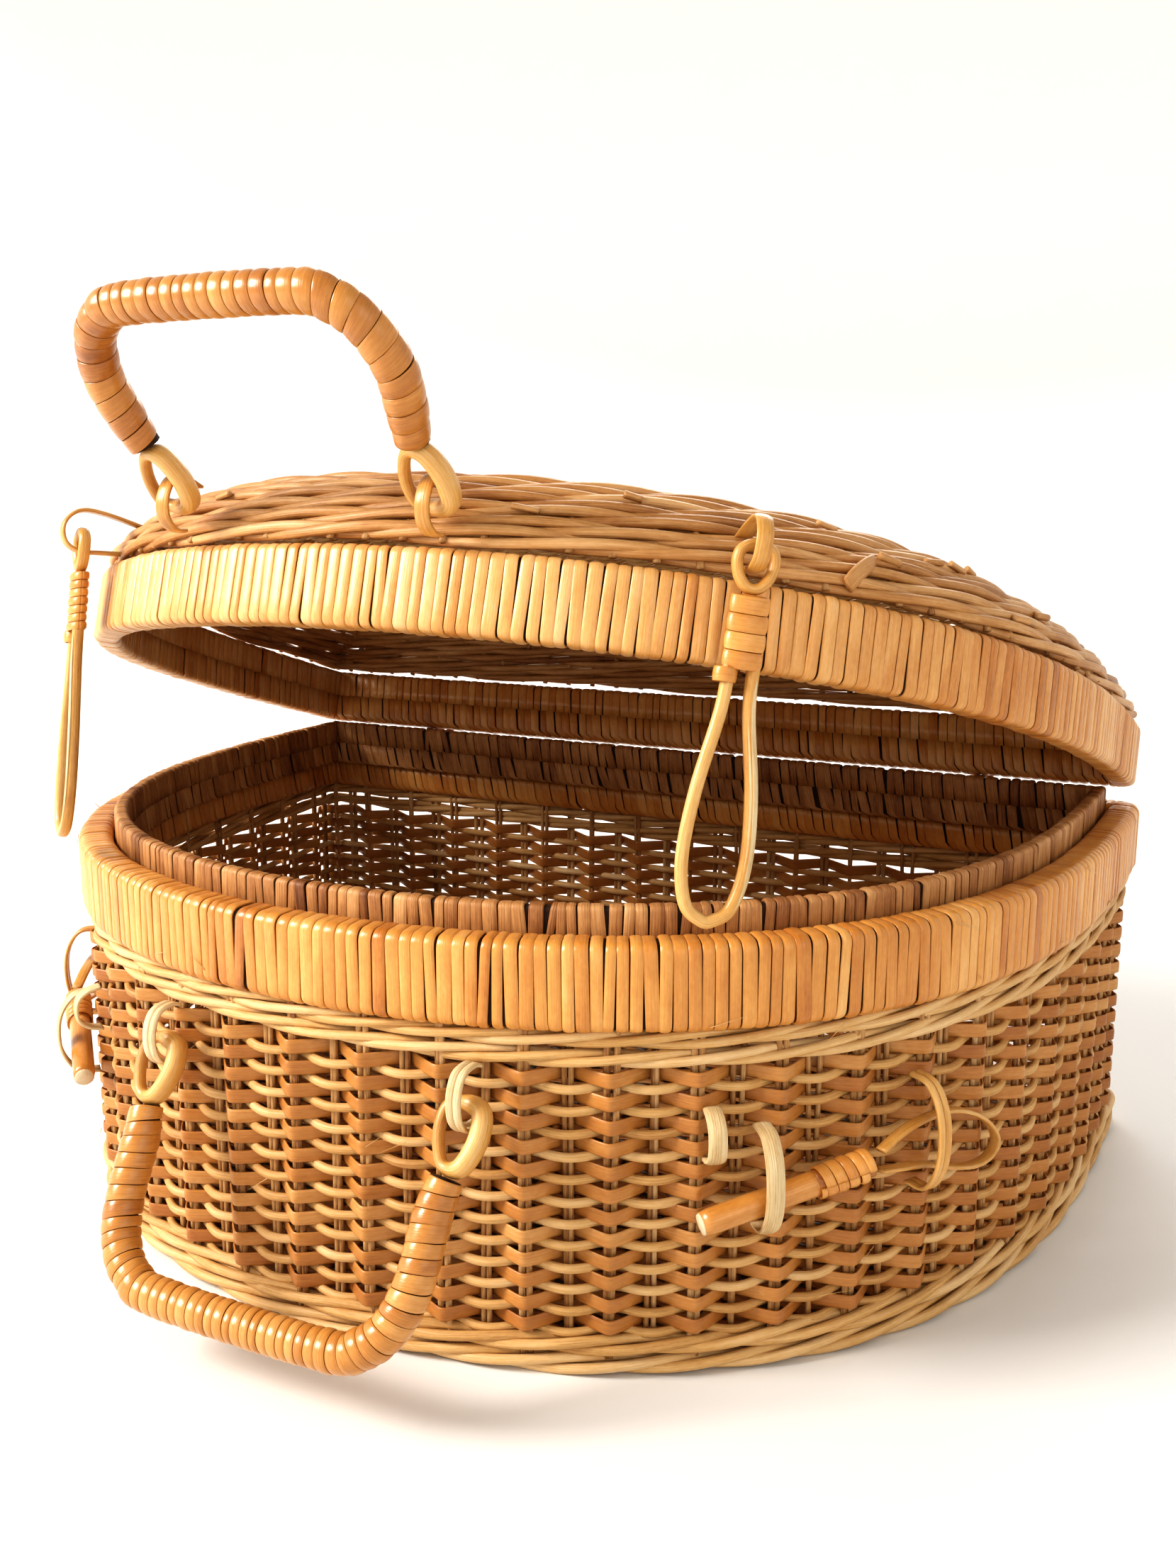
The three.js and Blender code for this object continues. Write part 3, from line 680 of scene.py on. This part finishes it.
def floor_weave():
    """Plain weave: strips from side to side over ribs from front to back."""
    cane = Cane()
    strip_pitch, rib_pitch = 5.2, 22.0
    inner = at(PLAN_S, 11.0)
    right = inner[inner[:, 0] > 1]
    front = inner[PLAN_S < at_x(0) * 2]
    for i, y in enumerate(np.arange(inner[:, 1].min() + 5, BACK_Y - 13, strip_pitch)):
        reach = np.interp(y, right[:, 1], right[:, 0])
        x = np.arange(-reach, reach, 4.5)
        z = 4.2 + 1.5 * np.cos(math.pi * (x / rib_pitch + i))
        centres = np.stack([x, np.full_like(x, y), z], -1)
        cane.sweep(centres, (0, 1, 0), strip_section(4.9, 1.6, 8), tones(1, 0.5, 0.2)[0])
    for x in rib_pitch * np.arange(-10, 11):
        y = np.linspace(np.interp(x, front[:, 0], front[:, 1]), BACK_Y - 12, 60)
        centres = np.stack([np.full_like(y, x), y, np.full_like(y, 3.6)], -1)
        cane.sweep(centres, (1, 0, 0), strip_section(4, 3, 8), 0.4)
    cane.build("floor_weave", STRIP, "basket", "brown_weave", ["floor_panel"])


# ---------- lid ----------

def dome_height(scale):
    """The dome's height where the outline is shrunk to a scale."""
    share = np.maximum(1 - np.abs(scale) ** DOME_POWER, 0) ** (1 / DOME_ROUNDING)
    return LID_RIM_HEIGHT + (DOME_TOP - LID_RIM_HEIGHT) * share


def dome_points(s, scale, lift):
    """Points of the dome: its outline shrunk to a scale, raised by lift along the dome's normal."""
    s, scale, lift = np.broadcast_arrays(*(np.asarray(v, float) for v in (s, scale, lift)))
    flat = at(s, DOME_INSET)
    out = lookup(s, NORMAL)
    reach = np.linalg.norm(flat, axis=-1)
    slope = (dome_height(scale + 1e-3) - dome_height(scale - 1e-3)) / 2e-3 / reach
    length = np.hypot(1, slope)
    x = flat[..., 0] * scale - out[..., 0] * slope / length * lift
    y = DOME_CENTRE_Y + (flat[..., 1] - DOME_CENTRE_Y) * scale - out[..., 1] * slope / length * lift
    return np.stack([x, y, dome_height(scale) + lift / length], -1)


def side_wale():
    """Rows of waling up the side of the dome, whose strands wander a little as they go."""
    cane = Cane()
    rise, diameter, period = 7.0, 4.0, 132
    scale = np.linspace(0.999, 0.74, 500)
    length = path_length(np.stack([scale * DEPTH / 2, dome_height(scale)], -1))
    s = np.arange(0, LENGTH, 1.6)
    for row in range(int(length[-1] / rise) - 1):
        for strand in range(3):
            phase = wale_phase(s, period, strand, row)
            climb = 2.0 + rise * (row + 0.5) + rise * 0.27 * np.sin(phase) + wander(phase, 0.9, (2, 7))
            ring = np.interp(climb, length, scale)
            lift = -3.0 + diameter * 0.6 * np.cos(phase)
            centres = lid_to_world(dome_points(s, ring, lift))
            section = strip_section(diameter, diameter * 0.92, 8, 2.2)
            cane.sweep(centres, (0, 0, 1), section, row_tones(s, 0.42), closed=True)
    cane.build("lid_wale_rods", LID_ROD, "lid", "pale_rods", ["lid_side_wale"])


def dome_scale_at(x, y):
    """The scale of the outline that passes through each point."""
    flat = at(PLAN_S, DOME_INSET)
    angle = np.arctan2(flat[:, 1] - DOME_CENTRE_Y, flat[:, 0])
    order = np.argsort(angle)
    reach = np.hypot(flat[:, 0], flat[:, 1] - DOME_CENTRE_Y)
    dy = y - DOME_CENTRE_Y
    return np.hypot(x, dy) / np.interp(np.arctan2(dy, x), angle[order], reach[order], period=2 * math.pi)


def lid_top():
    """Fine plain weave over the top of the dome."""
    cane = Cane()
    limit, row_pitch, rib_pitch, depth = 0.83, 3.5, 14.0, 3.0
    for i, y in enumerate(np.arange(-DEPTH / 2 * limit, DEPTH / 2 * limit, row_pitch)):
        x = np.arange(-HALF_WIDTH, HALF_WIDTH, 3.5)
        scale = dome_scale_at(x, np.full_like(x, y))
        x, scale = x[scale < limit], scale[scale < limit]
        if len(x) < 6:
            continue
        z = dome_height(scale) - depth + 1.5 * np.cos(math.pi * (x / rib_pitch + i))
        centres = np.stack([x, np.full_like(x, y), z], -1)
        cane.sweep(lid_to_world(centres), (0, 1, 0), strip_section(3.9, 2.2, 8, 2.4), tones(1, 0.45, 0.18)[0])
    for x in rib_pitch * np.arange(-15, 16):
        y = np.arange(-DEPTH / 2, DEPTH / 2, 4.0)
        scale = dome_scale_at(np.full_like(y, x), y)
        y, scale = y[scale < limit], scale[scale < limit]
        if len(y) > 6:
            centres = np.stack([np.full_like(y, x), y, dome_height(scale) - depth], -1)
            cane.sweep(lid_to_world(centres), (1, 0, 0), strip_section(2.8, 2.4, 8, 2.2), 0.4)
    cane.build("lid_top_weave", ROD, "lid", "brown_weave", ["lid_top_panel"])


def lid_ribs():
    """Stakes that run up inside the side of the dome."""
    cane = Cane()
    for i in range(COLUMNS * 2):
        s = (i + 0.5) * PITCH / 2
        scale = np.linspace(0.997, 0.72, 40)
        centres = lid_to_world(dome_points(np.full(40, s), scale, -3.2))
        along, _ = wall_axes(s)
        cane.sweep(centres, along, strip_section(3, 2.4, 8, 2.2), tones(1, 0.45, 0.15)[0])
    cane.build("lid_ribs", STAKE, "lid", "pale_rods")


# ---------- handles ----------

def turned(points, handle):
    """Turns a handle's points, drawn hanging from its pivot, to its resting lean."""
    c, s = math.cos(handle["turn"]), math.sin(handle["turn"])
    x, y, z = points[..., 0], points[..., 1], points[..., 2]
    return np.stack([x + handle["x"], y * c - z * s + handle["y"], y * s + z * c + handle["z"]], -1)


WRAP_SPREAD = 0.14


def wrap_tube(cane, centres, side, radius, pitch, thickness, middle, place, taper=0.0, legs=0.0):
    """Winds split cane round a bent rod in a helix. taper thins its ends; legs widens the turns near them."""
    length = path_length(centres)
    along, across = axes_along(centres, side)
    angle = np.linspace(0, 2 * math.pi, 29)
    cosine, sine = np.cos(angle)[:, None, None], np.sin(angle)[:, None, None]
    position = 0.0
    while position < length[-1] - pitch * 0.5:
        ends = 1 - math.sin(math.pi * position / length[-1]) ** 2
        width = pitch * (1 + legs * ends) * RANDOM.uniform(1 - WRAP_SPREAD, 1 + WRAP_SPREAD)
        wide = width - RANDOM.uniform(0.1, 0.3)
        section = crowned_section(wide, thickness * RANDOM.uniform(0.9, 1.1), 0.5 - 0.2 * ends)
        rise = RANDOM.uniform(0, 0.2) - thickness
        u = position + width / 2 + section[None, :, 0] + width * (angle[:, None] / (2 * math.pi) - 0.5)
        end = np.clip(np.minimum(u, length[-1] - u) / 14, 0, 1)
        distance = (radius - taper * (1 - end)) + section[None, :, 1] + rise
        spoke = interpolate(u, length, along) * cosine + interpolate(u, length, across) * sine
        rings = interpolate(u, length, centres) + spoke * distance[..., None]
        tone = np.clip(RANDOM.normal(middle + 0.12 * ends * (legs > 0), 0.1), 0.02, 0.98)
        cane.add(place(rings), section, angle * radius, tone)
        position += width


def grip_path(numbers):
    """The bent rod of a handle, in the plane it hangs in."""
    half, flare, corner = numbers["half"], numbers["flare"], HANDLE_CORNER
    top, bottom, wide = -(EYE_LENGTH + 0.9), -numbers["reach"], half + flare
    leg = [(half + flare * 0.2, top), (half + flare * 0.7, top - 12), (wide, bottom + corner + 7),
           (wide - 5, bottom + corner - 8), (wide - 14, bottom + 4), (wide - corner - 8, bottom)]
    points = [(-x, 0, z) for x, z in leg] + [(x, 0, z) for x, z in reversed(leg)]
    return smooth(points, 1.2)


def eye_points(length, half_width, radius):
    """The centre line of a pear-shaped eye that hangs from the origin."""
    half = [(half_width * 0.8, -2), (half_width, -length * 0.36), (half_width * 0.8, -length * 0.66),
            (radius * 0.9, -length + radius)]
    points = [(0, 0)] + half + [(-x, z) for x, z in reversed(half)]
    return smooth([(x, 0, z) for x, z in points], 0.9, closed=True)


def handle(name, body, place_part, numbers, pitch, tone):
    """A wrapped grip between two cane eyes. Each eye has a thick limb and a thin one."""

    def place(p):
        return place_part(turned(p, numbers))

    grip = Cane()
    path = grip_path(numbers)
    seam = (0, numbers["seam"], 0)
    wrap_tube(grip, path, seam, HANDLE_RADIUS, pitch, 0.95, tone, place, taper=0.9, legs=0.5)
    grip.build(f"{name}_binding", HANDLE, body, "handle_binding", [f"{name}_grip"])
    # The rod under the grip's wraps is coloured nearly black as painted shade in the gaps between turns.
    core = Cane()
    core.sweep(place(path), (0, 1, 0), round_section(2 * HANDLE_RADIUS - 2.6, 12), 0.5)
    core.build(f"{name}_core", PAINTED_SHADE_CORE, body, "handle_binding")
    normal = place(np.array([[0, 1.0, 0]])) - place(np.zeros((1, 3)))
    for label, side in SIDES:
        eye = Cane()
        loop = eye_points(EYE_LENGTH, EYE_HALF_WIDTH, EYE_CANE_RADIUS)
        thick = 1 + 0.26 * np.tanh(loop[:, 0] / 3)
        limb_tone = 0.34 - 0.14 * np.tanh(loop[:, 0] / 3)
        loop = loop + [side * numbers["half"], 0, 0]
        section = strip_section(2 * EYE_CANE_RADIUS, 5.6, 14, 2.4)
        eye.sweep(place(loop), normal[0], section, limb_tone, closed=True, scale=thick)
        eye.build(f"{name}_eye_cane_{label}", SPLIT, body, "split_cane", [f"{name}_eye_{label}"])


def strap_ring(name, path, origin, side_axis, body, node, place, width=6.0, turns=2, material=SPLIT,
               tone=0.25, slot="split_cane"):
    """Turns of flat cane laid side by side, following (out, up) points from a pivot."""
    cane = Cane()
    each = width / turns
    origin, side_axis = np.array(origin, float), np.array(side_axis, float)
    out = np.array([side_axis[1], -side_axis[0], 0.0])
    side = place(origin + side_axis) - place(origin)
    for i in range(turns):
        points = [origin + out * o + np.array([0, 0, u]) for o, u in path]
        centres = place(smooth(points, 0.9) + side_axis * (i - (turns - 1) / 2) * each)
        strand_tone = np.clip(tone + RANDOM.normal(0, 0.08), 0, 1)
        cane.sweep(centres, side, crowned_section(each * 0.97, 1.6), strand_tone)
    cane.build(name, material, body, slot, [node])


def carrying_handles():
    """The two handles and the cane rings that hold them."""
    handle("base_handle", "base_handle", as_is, BASE_HANDLE, 4.0, 0.28)
    handle("lid_handle", "lid_handle", lid_to_world, LID_HANDLE, 5.0, 0.45)
    base_path = [(-6.6, 11), (-2, 12.6), (4.6, 11.4), (8, 5),
                 (7.6, -3), (4, -7.8), (-1.5, -9.6), (-7.4, -9.6)]
    lid_path = [(-8.5, 9.4), (0, 10.4), (6, 8.4), (8.6, 1), (6.8, -5.8), (2, -8.8), (-3.4, -8)]
    for label, side in SIDES:
        origin = (side * BASE_HANDLE["half"], BASE_HANDLE["y"], BASE_HANDLE["z"])
        strap_ring(f"base_handle_strap_{label}", base_path, origin, (1, 0, 0), "basket",
                   f"base_handle_ring_{label}", as_is, material=PEELED, tone=0.08)
        origin = (LID_HANDLE["x"] + side * LID_HANDLE["half"], LID_HANDLE["y"], LID_HANDLE["z"])
        strap_ring(f"lid_handle_strap_{label}", lid_path, origin, (1, 0, 0), "lid",
                   f"lid_handle_ring_{label}", lid_to_world, turns=1, tone=0.5)


# ---------- hinge lashings ----------

def lashing(points, x, place):
    """A band of two strands along (behind, z) points."""
    path = smooth([(x, BACK_Y + behind, z) for behind, z in points], 1.0)
    cane = Cane()
    for shift, tone in ((-1.25, 0.4), (1.25, 0.6)):
        cane.sweep(place(path + [shift, 0, 0]), (1, 0, 0), strip_section(2.5, 1.6, 10, 2.4), tone)
    return cane


def lashings():
    """Each hinge is two bands side by side: one on the body's rim, one on the lid's."""
    above, behind, clear = HINGE_Z - RIM_TOP, HINGE_Y - BACK_Y, 1.2
    base_path = [(clear, RIM_BOTTOM + 3), (clear, RIM_TOP - 14), (clear + 3, RIM_TOP - 6),
                 (behind + 3, HINGE_Z - 3), (behind + 3.6, HINGE_Z + 1), (behind + 0.5, HINGE_Z + 3),
                 (behind - 4, HINGE_Z + 1), (0, RIM_TOP + clear), (-5, RIM_TOP + clear),
                 (-13, RIM_TOP + clear)]
    outer = clear - LID_INSET
    lid_path = [(outer, LID_RIM_HEIGHT - 2), (outer, 14), (outer + 3, 6),
                (behind + 3, 3 - above), (behind + 3.6, -1 - above), (behind + 0.5, -3 - above),
                (behind - 4, -1 - above), (-3, -clear), (-7, -clear), (-13, -clear)]
    for label, side in SIDES:
        base = lashing(base_path, side * LASHING_X - LASHING_APART, as_is)
        node = f"hinge_lashing_base_{label}"
        base.build(f"lashing_base_{label}", PITH, "basket", "pith_binding", [node])
        upper = lashing(lid_path, side * LASHING_X + LASHING_APART, lid_to_world)
        node = f"hinge_lashing_lid_{label}"
        upper.build(f"lashing_lid_{label}", PITH, "lid", "pith_binding", [node])


# ---------- hasps ----------

def wall_seat(s, out, z):
    """A point out from the wall, the direction along the wall (towards +X) and the direction out of it."""
    along, outward = wall_axes(s)
    return np.array([*lookup(s, PLAN), z]) + outward * out, along, outward


def hasp(label, side):
    """A loop of split cane under a bound neck and an eye, and the ring on the lid that holds the eye."""
    origin, along, out = wall_seat(at_x(side * HASP_X), HASP_STANDOFF, HASP_HEIGHT)
    body = f"hasp_{label}"
    ring = [(-26, 6.6), (-8, 9), (2, 8.2), (7.2, 2), (6, -5), (0.5, -7.8), (-7, -6.8), (-17, -5.2)]
    strap_ring(f"hasp_strap_{label}", ring, origin, along, "lid", f"hasp_ring_{label}", lid_to_world,
               turns=1, tone=0.45)
    down = np.array([0, 0, -1.0]) * math.cos(HASP_LEAN) - out * math.sin(HASP_LEAN)
    front = np.cross(along, down)

    def place(p):
        """x along the wall, y out of the hasp's plane, z up the hasp."""
        return lid_to_world(origin + p[..., :1] * along + p[..., 1:2] * front - p[..., 2:] * down)

    facing = place(np.array([0, 1.0, 0])) - place(np.zeros(3))
    path = place(eye_points(HASP_EYE, 6.4, 2.2))
    eye = Cane()
    eye.sweep(path, facing, strip_section(5.0, 4.0, 10, 2.3), 0.35, closed=True)
    eye.build(f"hasp_eye_cane_{label}", SPLIT, body, "split_cane", [f"hasp_eye_{label}"])
    spare_turn(label, place)
    bind_flat(f"hasp_neck_{label}", place, -HASP_EYE - 0.3, HASP_NECK - 0.3, HASP_NECK_HALF, 3.6,
              HASP_TURNS[label], body, f"hasp_binding_{label}")
    hasp_loop(label, place, facing)


def spare_turn(label, place):
    """A single turn of cane round one limb of the loop, just under the neck."""
    half_width, half_depth = 3.3, 3.0
    angle = np.linspace(0, 2 * math.pi, 25)
    section = crowned_section(5.0, 0.9)
    x = -5.2 + (half_width + section[None, :, 1]) * np.cos(angle)[:, None]
    y = (half_depth + section[None, :, 1]) * np.sin(angle)[:, None]
    z = np.broadcast_to(section[None, :, 0] - (HASP_EYE + HASP_NECK + 2.6), x.shape)
    cane = Cane()
    cane.add(place(np.stack([x, y, z], -1)), section, angle * 3, 0.4)
    cane.build(f"hasp_spare_turn_{label}", BINDING, f"hasp_{label}", "rim_binding")


def hasp_loop(label, place, facing):
    """The long loop that drops over the staple. The pale pith shows on one limb."""
    body = f"hasp_{label}"
    top, end, w = -(HASP_EYE + HASP_NECK + 0.3), -HASP_LENGTH + 2.4, HASP_LOOP_HALF
    half = [(4.2, top + 3), (4.9, top - 14), (w - 1.4, top - 42),
            (w, end + 20), (w * 0.72, end + 5), (2, end)]
    path = smooth([(-x, 0, z) for x, z in half] + [(x, 0, z) for x, z in reversed(half)], 1.0)
    tone = 0.12 + 0.3 * np.clip((path[:, 0] + 3) / 10, 0, 1)
    loop = Cane()
    loop.sweep(place(path), facing, strip_section(4.8, 4.6, 12, 2.5), tone)
    loop.build(f"hasp_loop_cane_{label}", SPLIT, body, "split_cane", [f"hasp_loop_{label}"])
    limb = path[path[:, 0] > w * 0.35]
    thin = np.sin(np.linspace(0.05, 0.95, len(limb)) * math.pi) ** 0.3
    pith = Cane()
    pith.sweep(place(limb + [0.3, -1.9, 0]), facing, strip_section(1.0, 3.5, 8, 2.4), 0.2, scale=thin)
    pith.build(f"hasp_pith_{label}", PEELED, body, "peeled_strip")


def bind_flat(name, place, top, length, half_width, half_depth, turns, body, node):
    """Wide turns of cane round an oval neck."""
    cane = Cane()
    angle = np.linspace(0, 2 * math.pi, 33)
    each = length / turns
    for i in range(turns):
        section = crowned_section(each - 0.2, 1.2)
        rise = RANDOM.uniform(-0.1, 0.2) - 1.0
        z = top - each * (i + 0.5) + section[None, :, 0] + 0.6 * np.sin(angle)[:, None]
        x = (half_width + section[None, :, 1] + rise) * np.cos(angle)[:, None]
        y = (half_depth + section[None, :, 1] + rise) * np.sin(angle)[:, None]
        rings = np.stack([x, y, np.broadcast_to(z, x.shape)], -1)
        cane.add(place(rings), section, angle * half_width, tones(1, 0.38, 0.12)[0])
    # The core under the turns takes a dark binding tone as painted shade in the gaps between them.
    core = np.stack([np.cos(angle[:-1]) * (half_width - 1.2), np.sin(angle[:-1]) * (half_depth - 1.2)], -1)
    rings = np.stack([np.insert(core, 2, z, axis=1) for z in (top, top - length)])
    cane.add(place(rings), core, np.array([0.0, length]), 0.7)
    cane.build(name, BINDING, body, "rim_binding", [node])


# ---------- pegs ----------

def staple(name, s, low, high, bow, width, node, material=PEELED, turns=1):
    """A strip that leaves the wall at one height, bows out and goes back in at another."""
    origin, along, _ = wall_seat(s, -2.1, 0)
    third = (high - low) * 0.3
    path = [(0.3, high), (bow * 0.62, high - 1.5), (bow, high - third),
            (bow, low + third), (bow * 0.62, low + 1.5), (0.3, low)]
    strap_ring(name, path, origin, along, "basket", node, as_is, width, turns, material, 0.3, "peeled_strip")


def peg(label, side):
    """A slanting rod with a pale cut tip, a bound neck and a flat strap loop."""
    body = f"peg_{label}"
    hold = at_x(side * HASP_X) + side * STAPLE_SPACING
    origin, _, _ = wall_seat(hold, PEG_STANDOFF, PEG_Z)
    flat = np.array([side * math.cos(PEG_HEADING), math.sin(PEG_HEADING), 0])
    direction = flat * math.cos(PEG_TILT) + np.array([0, 0, math.sin(PEG_TILT)])
    across = unit(np.cross(direction, [0, 0, 1.0]))
    rod_end = PEG_ROD_LENGTH - PEG_TIP_BACK
    run = np.linspace(-PEG_TIP_BACK, rod_end + 2, 14)
    scale = np.clip((run + PEG_TIP_BACK + 9) / 10.0, 0.9, 1)
    rod = Cane()
    rod.sweep(origin + run[:, None] * direction, across, round_section(2 * PEG_RADIUS, 20), 0.3, scale=scale)
    rod.build(f"peg_rod_{label}", HANDLE, body, "handle_binding", [f"peg_{label}"])
    face = origin + np.array([[-PEG_TIP_BACK - 0.7], [-PEG_TIP_BACK + 0.3]]) * direction
    tip = Cane()
    tip.sweep(face, across, round_section(2 * PEG_RADIUS * 0.88, 20), 0.4, scale=[0.9, 1.02])
    tip.build(f"peg_tip_{label}", CHALK, body, "handle_binding")
    run = rod_end + 0.3 + np.linspace(0, PEG_NECK_LENGTH, 30)
    centres = origin + run[:, None] * direction
    neck = Cane()
    wrap_tube(neck, centres, across, PEG_NECK_RADIUS, 4.0, 1.1, 0.35, as_is)
    # The core under the neck's wraps takes the darkest binding tone as painted shade in the gaps between
    # turns.
    neck.sweep(centres, across, round_section(2 * PEG_NECK_RADIUS - 2.2, 12), 0.95)
    neck.build(f"peg_neck_{label}", BINDING, body, "rim_binding", [f"peg_binding_{label}"])
    peg_loop(label, side, body)


def peg_loop(label, side, body):
    """The strap loop, through stations (along the wall, out of it, height, half the loop's height)."""
    stations = [(61.6, 7.4, 81, 3.8), (72, 5.2, 82, 7), (84, 3.8, 82, 9.2), (98, 3, 79.4, 11.4),
                (112, 2.8, 75, 10.6), (122, 2.8, 71.6, 6.4)]
    first = at_x(side * HASP_X)

    def seat(along, out, z):
        return wall_seat(first + side * along, out, z)[0]

    upper = [seat(along, out, z + half) for along, out, z, half in stations]
    lower = [seat(along, out, z - half) for along, out, z, half in stations]
    across = wall_seat(first + side * 92, 0, 0)[2]
    path = smooth(upper + [seat(126.5, 2.8, 70.4)] + lower[::-1], 1.2)
    loop = Cane()
    loop.sweep(path, across, strip_section(5, 1.8), 0.35)
    loop.build(f"peg_strap_{label}", SPLIT, body, "split_cane", [f"peg_loop_{label}"])


def closures():
    """On each front quarter: a hasp, a peg, two staples and the peg's tether."""
    for label, side in SIDES:
        hasp(label, side)
        peg(label, side)
        s = at_x(side * HASP_X)
        staple(f"inner_staple_strip_{label}", s, 86.4, 104.4, 10, 7, f"inner_staple_{label}")
        s += side * STAPLE_SPACING
        staple(f"outer_staple_strip_{label}", s, 60, 97, 15.6, 7, f"outer_staple_{label}")
        s += side * (TETHER_SPACING - STAPLE_SPACING)
        staple(f"tether_strap_{label}", s, 65, 107, 16.5, 6, f"tether_ring_{label}", SPLIT, 2)


# ---------- loose ends ----------

def whisker(cane, start, direction, length, width, bend):
    """A thin curved fibre that has sprung from the weave."""
    u = np.linspace(0, 1, 9)[:, None]
    path = start + direction * length * u + bend * length * u**2
    tone = RANDOM.uniform(0.05, 0.5)
    cane.sweep(path, (0.3, 0.2, 1.0), round_section(width, 5), tone, scale=1 - 0.75 * u[:, 0])


def loose_fibres():
    """Hairs on the wall and the rim."""
    cane = Cane()
    for _ in range(46):
        s = RANDOM.uniform(0, LENGTH)
        wall, low, high = RANDOM.uniform(20, 118), RANDOM.uniform(0, 6), RANDOM.uniform(0, 8)
        z = RANDOM.choice([wall, RIM_BOTTOM + low, RIM_TOP - high])
        along, out = wall_axes(s)
        start = wall_points(s, 1.0 if z < RIM_BOTTOM else -0.1, z)
        way = along * RANDOM.choice([-1, 1]) + [0, 0, RANDOM.uniform(-0.9, 0.9)] + out * 0.12
        length, width = RANDOM.uniform(6, 15), RANDOM.uniform(0.25, 0.5)
        whisker(cane, start, unit(way), length, width, out * RANDOM.uniform(-0.05, 0.08))
    cane.build("loose_fibres", ROD, "basket", "brown_weave")


def rod_ends():
    """Cut ends of rods on the side of the lid, and one thick stub of cane above the rim."""
    cane = Cane()
    for _ in range(26):
        s, scale = RANDOM.uniform(0, LENGTH), RANDOM.uniform(0.86, 0.985)
        step = RANDOM.choice([-1, 1]) * np.linspace(0, RANDOM.uniform(6, 13), 7)
        lift = 0.6 + 1.4 * np.linspace(0, 1, 7)
        centres = lid_to_world(dome_points(s + step, scale, lift))
        cane.sweep(centres, (0, 0, 1), round_section(RANDOM.uniform(2.2, 3.2), 8), RANDOM.uniform(0.1, 0.6))
    step = np.linspace(-7, 8, 8)
    lift = 1.2 + 0.9 * np.cos(step / 5)
    centres = lid_to_world(dome_points(at_x(STUB_X) + step, STUB_SCALE - 0.0022 * step, lift))
    cane.sweep(centres, (0, 0, 1), strip_section(7.0, 2.6, 12, 2.6), 0.45)
    cane.build("lid_rod_ends", LID_ROD, "lid", "pale_rods")


# ---------- stage ----------

def stage_material():
    material = bpy.data.materials.new("Pale stage")
    material.use_nodes = True
    shader = material.node_tree.nodes["Principled BSDF"]
    shader.inputs["Base Color"].default_value = (0.86, 0.85, 0.83, 1)
    shader.inputs["Roughness"].default_value = 0.8
    return material


def stage():
    """A round pale floor that curves up into a pale wall."""
    flat, curve, top, turns = 1.9, 0.9, 3.2, 96
    rise = np.linspace(0.1, math.pi / 2, 12)
    profile = [(flat, 0.0)] + [(flat + curve * math.sin(a), curve * (1 - math.cos(a))) for a in rise]
    profile.append((flat + curve, top))
    points = [(r * math.cos(2 * math.pi * i / turns), r * math.sin(2 * math.pi * i / turns), z)
              for r, z in profile for i in range(turns)] + [(0, 0, 0)]
    faces = [(len(points) - 1, i, (i + 1) % turns) for i in range(turns)]
    for ring in range(len(profile) - 1):
        for i in range(turns):
            a, b = ring * turns + i, ring * turns + (i + 1) % turns
            faces.append((a, a + turns, b + turns, b))
    mesh = bpy.data.meshes.new("floor")
    mesh.from_pydata(points, [], faces)
    mesh.polygons.foreach_set("use_smooth", [True] * len(faces))
    mesh.materials.append(stage_material())
    floor = bpy.data.objects.new("floor", mesh)
    bpy.context.scene.collection.objects.link(floor)


def area_light(name, place, target, size, power, colour=(1, 1, 1)):
    data = bpy.data.lights.new(name, "AREA")
    data.shape = "RECTANGLE"
    data.size, data.size_y = size
    data.energy = power
    data.color = colour
    light = bpy.data.objects.new(name, data)
    light.location = place
    light.rotation_euler = (Vector(target) - Vector(place)).to_track_quat("-Z", "Y").to_euler()
    bpy.context.scene.collection.objects.link(light)


def lighting():
    """One warm key from the left, a weak fill, a light from behind, and a pale sky."""
    area_light("Key", (-1.5, -1.35, 1.4), (0, 0, 0.15), (0.9, 0.9), 66, (1.0, 0.97, 0.93))
    area_light("Fill", (1.7, -1.2, 1.1), (0, 0, 0.15), (1.4, 1.4), 5, (1.0, 0.98, 0.96))
    area_light("Back", (-0.4, 1.9, 1.6), (0, 0, 0.15), (1.6, 1.0), 22)
    world = bpy.data.worlds.new("Studio")
    world.use_nodes = True
    world.node_tree.nodes["Background"].inputs["Color"].default_value = (1.0, 0.99, 0.975, 1)
    world.node_tree.nodes["Background"].inputs["Strength"].default_value = 0.42
    bpy.context.scene.world = world
    view = bpy.context.scene.view_settings
    view.view_transform = "Standard"
    view.look = "High Contrast"
    view.exposure = -0.3


def camera():
    """The view from the front right, a little above the open lid."""
    data = bpy.data.cameras.new("Camera")
    data.sensor_fit = "VERTICAL"
    data.sensor_height = 36
    data.lens = 33.575
    eye = bpy.data.objects.new("Camera", data)
    eye.location = (0.32341, -0.58701, 0.32003)
    aim = Vector((-0.22079, 0.49576, 0.075)) - eye.location
    eye.rotation_euler = aim.to_track_quat("-Z", "Y").to_euler()
    data.clip_start = 0.01
    bpy.context.scene.collection.objects.link(eye)
    bpy.context.scene.camera = eye


body_rim()
inner_lip()
body_wales()
wall_stakes()
wall_rows()
floor_weave()
lid_rim()
side_wale()
lid_ribs()
lid_top()
carrying_handles()
lashings()
closures()
loose_fibres()
rod_ends()
stage()
lighting()
camera()
